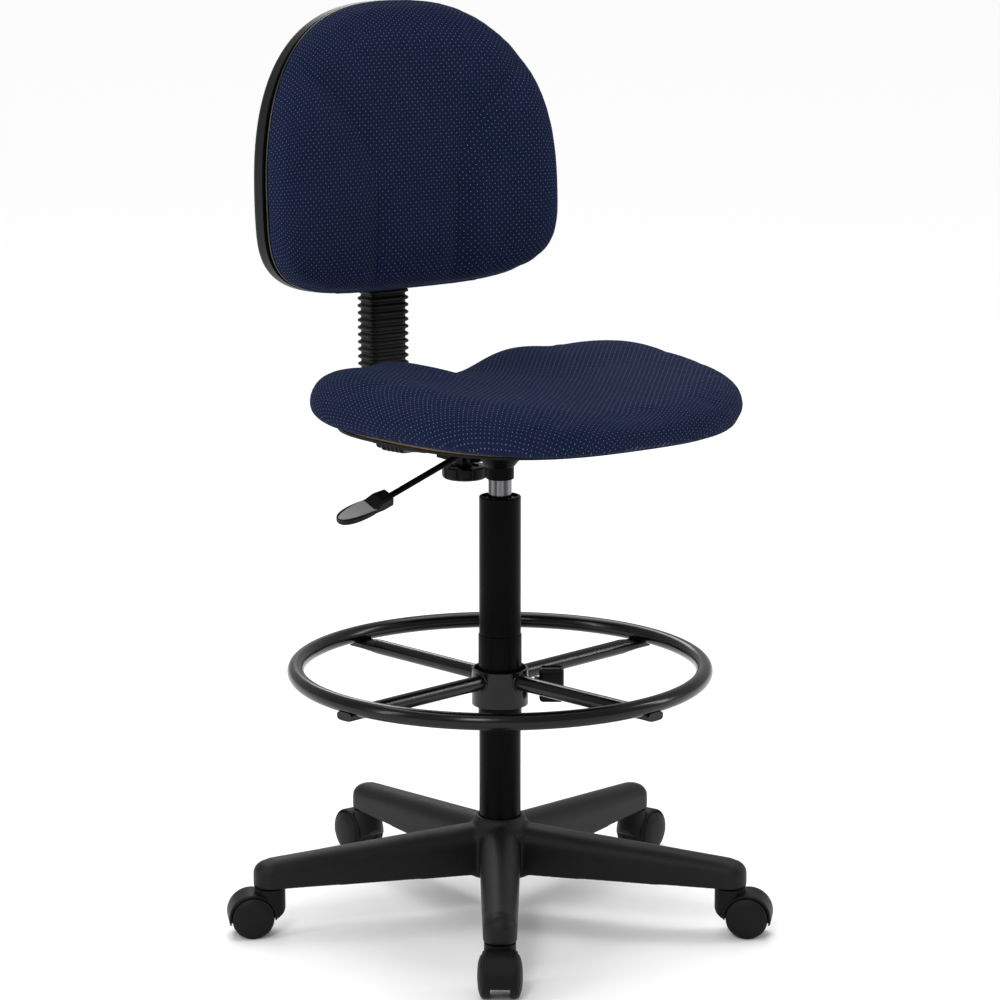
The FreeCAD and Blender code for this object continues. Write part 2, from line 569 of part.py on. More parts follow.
def plate_bolts():
    low, head, deep, radius, top = value(
        S.plate_low_z, S.bolt_head_radius, S.bolt_head_high, S.bolt_radius, S.bolt_top_z)
    bolts = []
    for x, y in bolt_spots():
        spot = Vector(x, y, 0)
        bolts.append(turned_shape([
            (0, low - deep + 1.5), (2.6, low - deep + 1.5), (2.6, low - deep), (head - 1, low - deep),
            (head, low - deep + 1.4), (head, low), (radius, low), (radius, top), (0, top)], spot))
    solid_node("plate_bolts", Part.makeCompound(bolts))


def bar_channel():
    half, wall, front, rear = value(
        S.bar_half_width, S.channel_wall, S.channel_front_y, S.channel_rear_y)
    low, plate = value(S.channel_low_z, S.plate_low_z)
    leg, thick, play, clamp, screw = value(
        S.bar_leg_z, S.bar_thick, S.bar_play, S.clamp_y, S.clamp_screw_radius)
    inner = half + play
    outer = inner + wall
    roof = leg + thick / 2 + play
    channel = box(-outer, outer, front, rear, low, plate)
    channel = channel.cut(box(-inner, inner, front - 1, rear + 1, leg - thick / 2 - play, roof))
    channel = channel.cut(box(-inner, inner, front - 1, rear + 1, roof + wall, plate - wall))
    channel = channel.cut(box(-inner, inner, front - 1, clamp - 16, low - 1, leg))
    channel = channel.cut(box(-inner, inner, clamp + 16, rear + 1, low - 1, leg))
    hole = Part.makeCylinder(screw + 0.1, 12, Vector(0, clamp, low - 2))
    solid_node("bar_channel", channel.cut(hole).removeSplitter())


def lever_place():
    """Frame of the lever: origin on its hinge, local -X running out along the rod."""
    hinge = Vector(float(S.pivot_x), 0, float(S.pivot_z))
    return Placement(hinge, Rotation(Vector(0, 1, 0), -float(S.lever_slope)))


def lever():
    place = lever_place()
    radius, inner, outer, pin, half = value(
        S.lever_radius, S.lever_inner, S.lever_outer, S.pivot_radius, S.lever_pin_half)
    shaft = rod(Vector(-outer, 0, 0), Vector(inner, 0, 0), radius)
    shaft = shaft.cut(box(8, inner + 1, -radius - 1, radius + 1, -radius - 1, -radius + 1.6))
    cross = Part.makeCylinder(pin, 2 * half, Vector(0, -half, 0), Vector(0, 1, 0))
    solid_node("lever_rod", shaft.fuse(cross).removeSplitter(), place)

    start, bend, roll = value(S.handle_start, S.handle_bend, S.handle_roll)
    turn = Rotation(Vector(0, 1, 0), bend).multiply(Rotation(Vector(1, 0, 0), roll))
    handle_place = place.multiply(Placement(Vector(-start, 0, 0), turn))
    label = label_shape()
    handle = handle_shape().cut(label)
    handle.Placement = handle_place
    socket = rod(Vector(-outer, 0, 0), Vector(-start + 10, 0, 0), radius)
    socket.Placement = place
    solid_node("lever_handle", handle.cut(socket).removeSplitter())
    solid_node("lever_label", label, handle_place)


def handle_shape():
    """Chamfered collar that runs out into an oval paddle, from x = 0 outward along -X."""
    collar_end, end, wide, collar_wide = value(
        S.handle_collar_long, S.handle_long, S.handle_half_width, S.handle_collar_half_width)
    low, high, paddle_low, paddle_high = value(
        S.handle_collar_low, S.handle_collar_high, S.handle_paddle_low, S.handle_paddle_high)
    sections = []
    for distance, half, drop, rise in ((0, collar_wide - 2, low + 1, high - 2), (2, collar_wide, low, high),
                                       (collar_end * 0.6, collar_wide + 1.5, low, high),
                                       (collar_end + 3, wide - 0.6, paddle_low, paddle_high - 0.3)):
        bevel = min(2.5, (rise - drop) / 3)
        corners = [(-half, drop + bevel), (-half + bevel, drop), (half - bevel, drop), (half, drop + bevel),
                   (half, rise - bevel), (half - bevel, rise), (-half + bevel, rise), (-half, rise - bevel)]
        points = [Vector(-distance, y, z) for y, z in corners]
        sections.append(Part.makePolygon(points + [points[0]]))
    collar = Part.makeLoft(sections, True, True)
    middle = -(collar_end * 0.5 + end) / 2
    half_length = (end - collar_end * 0.5) / 2
    outline = [Vector(middle + a, b, paddle_low) for a, b in oval(half_length, wide, 2.3, 28)]
    paddle = Part.Face(spline_wire(outline)).extrude(Vector(0, 0, paddle_high - paddle_low))
    paddle = paddle.makeFillet(1.2, paddle.Edges)
    return collar.fuse(paddle)


def label_shape():
    """Plain oval inlay let into the top of the handle."""
    end, start, wide, margin = value(
        S.handle_long, S.label_start, S.label_half_width, S.label_margin)
    thick, top = value(S.label_thick, S.handle_paddle_high)
    outline = []
    for a, b in oval(end - margin - start, wide, 2.0, 32):
        outline.append(Vector(min(-start, -start - a), b, top - thick))
    tip = [point for point in outline if point.x < -start - 0.01]
    tip.sort(key=lambda point: math.atan2(point.y, -point.x - start))
    corners = [Vector(-start, tip[0].y, tip[0].z)] + tip + [Vector(-start, tip[-1].y, tip[-1].z)]
    edge = Part.BSplineCurve()
    edge.interpolate(corners)
    closing = Part.makeLine(corners[-1], corners[0])
    return Part.Face(Part.Wire([edge.toShape(), closing])).extrude(Vector(0, 0, thick))


def hand_wheel(radius, thick, lobes, lobe, recess, deep):
    """Scalloped wheel turned about Z, its recessed face upward, standing on z = 0."""
    wheel = turned_shape([
        (0, 0), (radius - 4, 0), (radius - 1.2, 1.6), (radius, 4), (radius, thick - 1.5),
        (radius - 1.5, thick), (recess, thick), (recess - 0.6, thick - deep), (0, thick - deep)])
    reach = radius + lobe * 0.62
    for step in range(int(lobes)):
        angle = 2 * math.pi * (step + 0.5) / lobes
        spot = Vector(reach * math.cos(angle), reach * math.sin(angle), -1)
        wheel = wheel.cut(Part.makeCylinder(lobe, thick + 2, spot))
    return wheel


def depth_clamp():
    low, high, radius = value(S.clamp_knob_low_z, S.clamp_knob_high_z, S.clamp_knob_radius)
    recess, deep = value(S.clamp_recess_radius, S.clamp_recess_deep)
    boss, boss_top, lobes, lobe, screw, screw_low = value(
        S.clamp_boss_radius, S.clamp_boss_top_z, S.clamp_lobes, S.clamp_lobe_radius,
        S.clamp_screw_radius, S.clamp_screw_low_z)
    wheel = hand_wheel(radius, high - low, lobes, lobe, recess, deep)
    stem = Part.makeCylinder(boss, boss_top - high + deep, Vector(0, 0, high - low - deep))
    bore = Part.makeCylinder(screw, boss_top - screw_low + 1, Vector(0, 0, screw_low - low))
    place = Placement(Vector(0, float(S.clamp_y), low), Rotation())
    solid_node("depth_knob", wheel.fuse(stem).cut(bore).removeSplitter(), place)
    body = turned("depth_knob_screw", [
        (0, S.clamp_screw_low_z), (S.clamp_screw_radius, S.clamp_screw_low_z),
        (S.clamp_screw_radius, S.clamp_screw_top_z - 1), (S.clamp_screw_radius - 1, S.clamp_screw_top_z),
        (0, S.clamp_screw_top_z)])
    body.setExpression("Placement.Base.y", S.clamp_y.text)


# ---------------------------------------------------------------- bar and rubber boot

def bar_path(front, top):
    """Centre line of the bar: level leg, quarter bend, upright leg."""
    leg, upright, bend = value(S.bar_leg_z, S.bar_upright_y, S.bar_bend)
    turn_start = Vector(0, upright - bend, leg)
    turn_end = Vector(0, upright, leg + bend)
    side = bend * math.sin(math.pi / 4)
    middle = Vector(0, upright - bend + side, leg + bend - side)
    arc = Part.Arc(turn_start, middle, turn_end).toShape()
    first = Part.makeLine(Vector(0, front, leg), turn_start)
    last = Part.makeLine(turn_end, Vector(0, upright, top))
    return Part.Wire([first, arc, last])


def j_bar():
    front, half, thick, leg, top = value(
        S.bar_front_y, S.bar_half_width, S.bar_thick, S.bar_leg_z, S.bar_top_z)
    corners = [Vector(-half, front, leg - thick / 2), Vector(half, front, leg - thick / 2),
               Vector(half, front, leg + thick / 2), Vector(-half, front, leg + thick / 2)]
    section = Part.makePolygon(corners + [corners[0]])
    bar = bar_path(front, top).makePipeShell([section], True, False)
    solid_node("j_bar", bar)


def path_station(distance, front):
    """Point of the bar line at a distance along it, and how far the line has turned upward."""
    leg, upright, bend = value(S.bar_leg_z, S.bar_upright_y, S.bar_bend)
    level = upright - bend - front
    quarter = bend * math.pi / 2
    if distance <= level:
        return Vector(0, front + distance, leg), 0.0
    if distance <= level + quarter:
        angle = (distance - level) / bend
        y = upright - bend + bend * math.sin(angle)
        z = leg + bend - bend * math.cos(angle)
        return Vector(0, y, z), angle
    return Vector(0, upright, leg + bend + distance - level - quarter), math.pi / 2


def boot_section(distance, front, half_width, half_depth, power):
    point, angle = path_station(distance, front)
    across = Vector(0, -math.sin(angle), math.cos(angle))
    outline = oval(half_width, half_depth, power, 24)
    return spline_wire([point + Vector(a, 0, 0) + across * b for a, b in outline])


def bellows():
    front, ridge_y, top, pitch = value(
        S.boot_front_y, S.boot_ridge_start_y, S.boot_top_z, S.boot_pitch)
    leg, upright, bend = value(S.bar_leg_z, S.bar_upright_y, S.bar_bend)
    ridge = value(S.boot_ridge_half_width, S.boot_ridge_half_depth)
    valley = value(S.boot_valley_half_width, S.boot_valley_half_depth)
    mouth = value(S.boot_mouth_half_width, S.boot_mouth_half_depth)
    wall = float(S.boot_wall)
    total = upright - bend - front + bend * math.pi / 2 + top - leg - bend
    start = ridge_y - front
    folds = int((total - start) / pitch)
    step = (total - start) / folds
    outside = [boot_section(0, front, mouth[0], mouth[1], 5.0)]
    for fold in range(folds):
        base = start + fold * step
        outside.append(boot_section(base, front, valley[0], valley[1], 8.0))
        outside.append(boot_section(base + step * 0.32, front, ridge[0], ridge[1], 8.0))
        outside.append(boot_section(base + step * 0.62, front, ridge[0], ridge[1], 8.0))
    outside.append(boot_section(total, front, valley[0], valley[1], 8.0))
    inside = [boot_section(-1, front, mouth[0] - wall, mouth[1] - wall, 5.0)]
    for share in range(0, 25):
        distance = start + (total + 1 - start) * share / 24
        inside.append(boot_section(distance, front, valley[0] - wall, valley[1] - wall, 8.0))
    solid_node("bellows", lofted(outside, ruled=True).cut(lofted(inside, ruled=True)))


# ---------------------------------------------------------------- back

def back_outline(inset, y):
    """Round-topped outline of the back in an upright plane."""
    half, up, down, middle = value(S.back_half_width, S.back_up, S.back_down, S.back_mid_z)
    half, up, down = half - inset, up - inset, down - inset
    points = []
    for step in range(48):
        angle = 2 * math.pi * (step + 0.5) / 48
        rise = math.sin(angle)
        power = 2.47 if rise > 0 else 3.53
        height = up if rise > 0 else down
        x = half * signed_power(math.cos(angle), 2 / power)
        z = height * signed_power(rise, 2 / power)
        points.append(Vector(x, y, middle + z))
    return spline_wire(points)


def bowed_slab(front, rear):
    """Space between two upright cylinders; the sides of the back bow forward with it."""
    half, bow = value(S.back_half_width, S.back_bow)
    radius = (half * half + bow * bow) / (2 * bow)
    axis = Vector(0, -radius, 600)
    outer = Part.makeCylinder(radius + rear, 600, axis)
    return outer.cut(Part.makeCylinder(radius + front, 600, axis))


def back_slice(inset, front, rear):
    prism = Part.Face(back_outline(inset, 100)).extrude(Vector(0, 220, 0))
    return prism.common(bowed_slab(front, rear))


def recline(shape):
    centre = Vector(0, float(S.back_rim_y), float(S.back_mid_z))
    shape.rotate(centre, Vector(1, 0, 0), -float(S.back_recline))
    return shape


def back_shell():
    rim, deep, wall, curve = value(S.back_rim_y, S.shell_deep, S.shell_wall, S.shell_round)
    outer = back_slice(0, rim, rim + deep)
    outer = rounded(outer, curve, lambda edge: edge.BoundBox.YMax > rim + deep - 0.5)
    inner = back_slice(wall, rim - 1, rim + deep - wall)
    shell = recline(outer.cut(inner))

    half, rear, top, skin, curve = value(
        S.pocket_half_width, S.pocket_rear_y, S.pocket_top_z, S.pocket_wall, S.pocket_round)
    low = float(S.back_mid_z) - float(S.back_down) - 3
    pocket = box(-half, half, rim + 4, rear, low, top)
    pocket = rounded(pocket, curve, lambda edge: edge.BoundBox.YMax > rear - 0.1)
    room = box(-half + skin, half - skin, rim - 20, rear - skin, low - 5, top - skin)
    mouth_half, mouth_front = value(S.mouth_half_width, S.mouth_front_y)
    mouth = box(-mouth_half, mouth_half, mouth_front, rear - skin, low - 20, low + 25)
    cover = recline(back_slice(wall, rim - 1, rim + 200))
    shell = shell.fuse(pocket.common(cover)).cut([room, mouth])
    knob_z, stud = value(S.back_knob_z, S.back_stud_radius)
    hole = Part.makeCylinder(stud + 1, 60, Vector(0, rim, knob_z), Vector(0, 1, 0))
    solid_node("back_shell", shell.cut(hole))


def back_board():
    rim, inset, thick = value(S.back_rim_y, S.board_inset, S.board_thick)
    solid_node("back_board", recline(back_slice(inset, rim - thick, rim)))


def back_cushion():
    rim, inset, thick, curve = value(S.back_rim_y, S.back_foam_inset, S.back_foam_thick, S.back_foam_round)
    foam = back_slice(inset, rim - thick, rim)
    foam = rounded(foam, curve, lambda edge: edge.BoundBox.YMax < rim - thick + 0.5)
    board_inset, board_thick = value(S.board_inset, S.board_thick)
    foam = recline(foam).cut(recline(back_slice(board_inset, rim - board_thick, rim + 1)))
    solid_node("back_cushion", foam)


def back_bracket():
    half, front, rear, low, high, play = value(
        S.bracket_half_width, S.bracket_front_y, S.bracket_rear_y, S.bracket_low_z, S.bracket_high_z,
        S.bracket_play)
    bar_half, thick, bar_y = value(S.bar_half_width, S.bar_thick, S.bar_upright_y)
    block = box(-half, half, front, rear, low, high)
    block = rounded(block, 3, lambda edge: abs(edge.Length - (high - low)) < 0.01)
    slot = box(-bar_half - play, bar_half + play, bar_y - thick / 2 - play, bar_y + thick / 2 + play,
               low - 1, high + 1)
    knob_z, stud = value(S.back_knob_z, S.back_stud_radius)
    hole = Part.makeCylinder(stud + float(S.back_stud_play), 60, Vector(0, bar_y, knob_z), Vector(0, 1, 0))
    behind = recline(back_slice(float(S.shell_wall), float(S.back_rim_y), float(S.back_rim_y) + 60))
    solid_node("back_bracket", block.cut([slot, hole]).common(behind))


def back_knob():
    radius, front, rear, z = value(
        S.back_knob_radius, S.back_knob_front_y, S.back_knob_rear_y, S.back_knob_z)
    lobes, lobe, stud, stud_front = value(
        S.clamp_lobes, S.clamp_lobe_radius, S.back_stud_radius, S.back_stud_front_y)
    recess, deep = value(S.back_recess_radius, S.back_recess_deep)
    wheel = hand_wheel(radius, rear - front, lobes, lobe, recess, deep)
    shank = Part.makeCylinder(stud, front - stud_front + 4, Vector(0, 0, rear - front - 4))
    place = Placement(Vector(0, rear, z), Rotation(Vector(1, 0, 0), 90))
    solid_node("back_knob", wheel.fuse(shank).removeSplitter(), place)


# ---------------------------------------------------------------- seat

def seat_outline(inset, z):
    """Rounded-square plan of the seat, a little narrower in front."""
    half_width, half_depth, middle, power, taper = value(
        S.seat_half_width, S.seat_half_depth, S.seat_mid_y, S.seat_power, S.seat_taper)
    points = []
    for a, b in oval(half_width - inset, half_depth - inset, power, 48):
        narrow = 1 + taper * b / half_depth
        points.append(Vector(a * narrow / (1 + taper * 0.35), middle + b, z))
    return spline_wire(points)


def seat():
    low, wide, top, low_inset = value(S.seat_low_z, S.seat_wide_z, S.seat_top_z, S.seat_low_inset)
    heights = [(low_inset, low), (low_inset * 0.45, low + 8), (2, wide - 9), (0, wide), (4, wide + 13),
               (20, top - 6), (60, top)]
    foam = lofted([seat_outline(inset, z) for inset, z in heights])
    board_inset, board_top = value(S.seat_board_inset, S.seat_board_top_z)
    pocket = Part.Face(seat_outline(board_inset, low - 1)).extrude(Vector(0, 0, board_top - low + 1))
    board = Part.Face(seat_outline(board_inset, low)).extrude(Vector(0, 0, board_top - low))
    holes = [Part.makeCylinder(float(S.bolt_radius), 40, Vector(x, y, low - 20)) for x, y in bolt_spots()]
    pan_low, pan_inset, pan_thick = value(S.pan_low_z, S.pan_inset, S.pan_thick)
    pan = Part.Face(seat_outline(pan_inset, pan_low)).extrude(Vector(0, 0, pan_thick))
    solid_node("seat_cushion", foam.cut(pocket))
    solid_node("seat_board", board.cut(holes))
    solid_node("seat_pan", pan.cut(holes))


# ---------------------------------------------------------------- build and export

def check_and_export():
    os.makedirs("parts", exist_ok=True)
    for item in DOC.Objects:
        if "Invalid" in item.State or "Error" in item.State:
            raise RuntimeError("%s is %s" % (item.Name, item.State))
    for item in NODES:
        if item.Shape.isNull() or not item.Shape.isValid() or not item.Shape.Solids:
            raise RuntimeError("bad shape in " + item.Label)
        item.Shape.exportStep("parts/%s.step" % item.Label)
        size = item.Shape.BoundBox
        print("%-22s %2d solids  x %7.1f %7.1f  y %7.1f %7.1f  z %6.1f %6.1f" % (
            item.Label, len(item.Shape.Solids), size.XMin, size.XMax, size.YMin, size.YMax, size.ZMin,
            size.ZMax))
    print(len(NODES), "sub-parts")


base_star()
casters()
column()
foot_ring()
taper_socket()
seat_plate()
plate_bolts()
bar_channel()
lever()
depth_clamp()
j_bar()
bellows()
back_shell()
back_board()
back_cushion()
back_bracket()
back_knob()
seat()
DOC.recompute()
check_and_export()
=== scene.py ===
"""Drafting chair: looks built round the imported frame. Metres, +Z up, the sitter faces -Y."""
import json
import math

import bmesh
import bpy
import numpy as np
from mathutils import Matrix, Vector


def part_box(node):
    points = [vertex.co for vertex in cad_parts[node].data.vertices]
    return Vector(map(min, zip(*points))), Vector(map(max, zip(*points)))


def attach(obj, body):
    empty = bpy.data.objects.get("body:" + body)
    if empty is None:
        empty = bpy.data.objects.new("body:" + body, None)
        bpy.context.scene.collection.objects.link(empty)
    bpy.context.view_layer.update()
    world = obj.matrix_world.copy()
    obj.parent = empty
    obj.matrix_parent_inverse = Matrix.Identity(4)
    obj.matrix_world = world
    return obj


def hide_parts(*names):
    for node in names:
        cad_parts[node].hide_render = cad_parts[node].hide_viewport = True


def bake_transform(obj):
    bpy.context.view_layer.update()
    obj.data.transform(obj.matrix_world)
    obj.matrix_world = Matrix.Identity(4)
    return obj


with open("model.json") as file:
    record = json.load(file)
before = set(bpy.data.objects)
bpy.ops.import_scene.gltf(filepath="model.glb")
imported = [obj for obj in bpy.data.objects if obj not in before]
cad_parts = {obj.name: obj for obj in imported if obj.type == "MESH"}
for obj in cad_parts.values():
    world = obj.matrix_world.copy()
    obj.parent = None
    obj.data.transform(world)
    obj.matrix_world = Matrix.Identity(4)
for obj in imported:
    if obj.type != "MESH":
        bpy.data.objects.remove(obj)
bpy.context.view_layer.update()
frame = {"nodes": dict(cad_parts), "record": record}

NODES = frame["nodes"]
ARM_COUNT = 5


# ---------------------------------------------------------------- node helpers

class Tree:
    """Short way to build a shader node tree."""

    def __init__(self, material):
        material.use_nodes = True
        self.tree = material.node_tree
        self.tree.nodes.clear()
        self.out = self.add("ShaderNodeOutputMaterial")
        self.shader = self.add("ShaderNodeBsdfPrincipled")
        self.link(self.shader.outputs["BSDF"], self.out.inputs["Surface"])

    def add(self, kind, **settings):
        node = self.tree.nodes.new(kind)
        for key, value in settings.items():
            setattr(node, key, value)
        return node

    def link(self, a, b):
        self.tree.links.new(a, b)

    def math(self, operation, a, b=None, c=None, clamp=False):
        node = self.add("ShaderNodeMath", operation=operation, use_clamp=clamp)
        for socket, value in zip(node.inputs, (a, b, c)):
            if value is None:
                continue
            if isinstance(value, (int, float)):
                socket.default_value = value
            else:
                self.link(value, socket)
        return node.outputs[0]

    def noise(self, vector, scale, detail=2.0, rough=0.5):
        node = self.add("ShaderNodeTexNoise")
        node.inputs["Scale"].default_value = scale
        node.inputs["Detail"].default_value = detail
        node.inputs["Roughness"].default_value = rough
        if vector is not None:
            self.link(vector, node.inputs["Vector"])
        return node.outputs["Fac"]

    def span(self, value, low, high, to_low, to_high):
        node = self.add("ShaderNodeMapRange")
        self.link(value, node.inputs["Value"])
        limits = (("From Min", low), ("From Max", high), ("To Min", to_low), ("To Max", to_high))
        for name, number in limits:
            node.inputs[name].default_value = number
        return node.outputs["Result"]

    def mix(self, factor, a, b):
        node = self.add("ShaderNodeMix", data_type="RGBA")
        return mix_colours(self, node, factor, a, b)

    def bump(self, height, distance, strength=1.0, after=None):
        node = self.add("ShaderNodeBump")
        node.inputs["Strength"].default_value = strength
        node.inputs["Distance"].default_value = distance
        self.link(height, node.inputs["Height"])
        if after is not None:
            self.link(after, node.inputs["Normal"])
        return node.outputs["Normal"]

    def place(self):
        return self.add("ShaderNodeTexCoord").outputs["Object"]


def mix_colours(tree, node, factor, a, b):
    """Link or set the RGBA mix node's factor and its two colours."""
    factor_socket = [s for s in node.inputs if s.name == "Factor" and s.type == "VALUE"][0]
    a_socket = [s for s in node.inputs if s.name == "A" and s.type == "RGBA"][0]
    b_socket = [s for s in node.inputs if s.name == "B" and s.type == "RGBA"][0]
    for socket, value in ((factor_socket, factor), (a_socket, a), (b_socket, b)):
        if isinstance(value, (int, float)):
            socket.default_value = value
        elif isinstance(value, (tuple, list)):
            socket.default_value = (*value[:3], 1.0)
        else:
            tree.link(value, socket)
    return [s for s in node.outputs if s.type == "RGBA"][0]


# ---------------------------------------------------------------- materials

def moulded(name, colour, rough, grain_scale, grain_depth, specular=0.5):
    """Moulded plastic with a fine spark-eroded grain and slight unevenness in sheen."""
    material = bpy.data.materials.new(name)
    t = Tree(material)
    place = t.place()
    grain = t.noise(place, grain_scale, 3.0, 0.6)
    cloud = t.noise(place, 18.0, 4.0, 0.55)
    shade = t.mix(t.span(cloud, 0.3, 0.7, 0.0, 1.0),
                  [c * 0.86 for c in colour], [c * 1.16 for c in colour])
    t.link(shade, t.shader.inputs["Base Color"])
    both = t.math("ADD", t.math("MULTIPLY", grain, 0.10), t.math("MULTIPLY", cloud, 0.10))
    t.link(t.math("ADD", both, rough - 0.10), t.shader.inputs["Roughness"])
    t.shader.inputs["Specular IOR Level"].default_value = specular
    t.link(t.bump(grain, grain_depth, 1.0), t.shader.inputs["Normal"])
    return material


def coated(name, colour, rough, peel_depth, specular, coat=0.0):
    """Powder coat over steel: orange peel, a faint cloudiness and, if asked, a glossy skin."""
    material = bpy.data.materials.new(name)
    t = Tree(material)
    place = t.place()
    peel = t.noise(place, 900.0, 2.0, 0.5)
    cloud = t.noise(place, 25.0, 4.0, 0.6)
    shade = t.mix(t.span(cloud, 0.35, 0.7, 0.0, 1.0),
                  [c * 0.9 for c in colour], [c * 1.2 for c in colour])
    t.link(shade, t.shader.inputs["Base Color"])
    t.link(t.span(cloud, 0.2, 0.8, rough - 0.04, rough + 0.05), t.shader.inputs["Roughness"])
    t.shader.inputs["Specular IOR Level"].default_value = specular
    t.shader.inputs["Coat Weight"].default_value = coat
    t.shader.inputs["Coat Roughness"].default_value = 0.12
    t.link(t.bump(peel, peel_depth, 1.0), t.shader.inputs["Normal"])
    return material


def bare_metal(name, colour, rough):
    """Bare metal with a fine mottle."""
    material = bpy.data.materials.new(name)
    t = Tree(material)
    mottle = t.noise(t.place(), 400.0, 3.0, 0.6)
    t.link(t.mix(mottle, [c * 0.85 for c in colour], colour), t.shader.inputs["Base Color"])
    t.shader.inputs["Metallic"].default_value = 1.0
    t.link(t.span(mottle, 0.3, 0.7, rough * 0.8, rough * 1.3), t.shader.inputs["Roughness"])
    t.link(t.bump(mottle, 0.00002, 0.6), t.shader.inputs["Normal"])
    return material


def chrome_with_painted_streaks(name):
    """Plated lift cylinder, polished round. The long streaks along its axis are painted reflection:
    dark and pale bands set into the base colour; the fine mottle is the metal's own.
    """
    material = bpy.data.materials.new(name)
    t = Tree(material)
    stretch = t.add("ShaderNodeMapping")
    stretch.inputs["Scale"].default_value = (1.0, 1.0, 0.015)
    t.link(t.place(), stretch.inputs["Vector"])
    broad = t.noise(stretch.outputs["Vector"], 110.0, 2.0, 0.5)
    fine = t.noise(stretch.outputs["Vector"], 700.0, 2.0, 0.6)
    # painted reflection: dark and pale streaks along the axis, mixed into the base colour below
    streaks = t.math("MULTIPLY", t.span(broad, 0.44, 0.60, 0.0, 1.0), 0.85)
    tone = t.math("ADD", streaks, t.math("MULTIPLY", fine, 0.25))
    t.link(t.mix(tone, (0.008, 0.008, 0.009), (0.17, 0.17, 0.175)), t.shader.inputs["Base Color"])
    t.shader.inputs["Metallic"].default_value = 1.0
    t.link(t.span(fine, 0.3, 0.7, 0.10, 0.22), t.shader.inputs["Roughness"])
    t.link(t.bump(fine, 0.00001, 0.5), t.shader.inputs["Normal"])
    return material


def plywood(name):
    """Pale ply with a long grain."""
    material = bpy.data.materials.new(name)
    t = Tree(material)
    stretch = t.add("ShaderNodeMapping")
    stretch.inputs["Scale"].default_value = (14.0, 1.6, 60.0)
    t.link(t.place(), stretch.inputs["Vector"])
    grain = t.noise(stretch.outputs["Vector"], 6.0, 6.0, 0.65)
    t.link(t.mix(t.span(grain, 0.3, 0.7, 0.0, 1.0), (0.42, 0.27, 0.14), (0.62, 0.45, 0.27)),
           t.shader.inputs["Base Color"])
    t.shader.inputs["Roughness"].default_value = 0.7
    t.link(t.bump(grain, 0.0003, 0.6), t.shader.inputs["Normal"])
    return material


DOT_ACROSS = 0.0078
DOT_ALONG = 0.0080
DOT_RADIUS = 0.00058
RIB_PITCH = 0.0011
PICK_PITCH = 0.0016


def lattice(t, across, along, shift):
    """Distance to the nearest dot of a rectangular lattice, and a number for the cell it is in."""
    a = t.math("ADD", t.math("DIVIDE", across, DOT_ACROSS), shift)
    b = t.math("ADD", t.math("DIVIDE", along, DOT_ALONG), shift)
    da = t.math("MULTIPLY", t.math("SUBTRACT", t.math("FRACT", a), 0.5), DOT_ACROSS)
    db = t.math("MULTIPLY", t.math("SUBTRACT", t.math("FRACT", b), 0.5), DOT_ALONG)
    reach = t.math("SQRT", t.math("ADD", t.math("MULTIPLY", da, da), t.math("MULTIPLY", db, db)))
    cell = t.add("ShaderNodeCombineXYZ")
    t.link(t.math("FLOOR", a), cell.inputs[0])
    t.link(t.math("FLOOR", b), cell.inputs[1])
    cell.inputs[2].default_value = shift * 7.0
    return reach, cell.outputs[0]


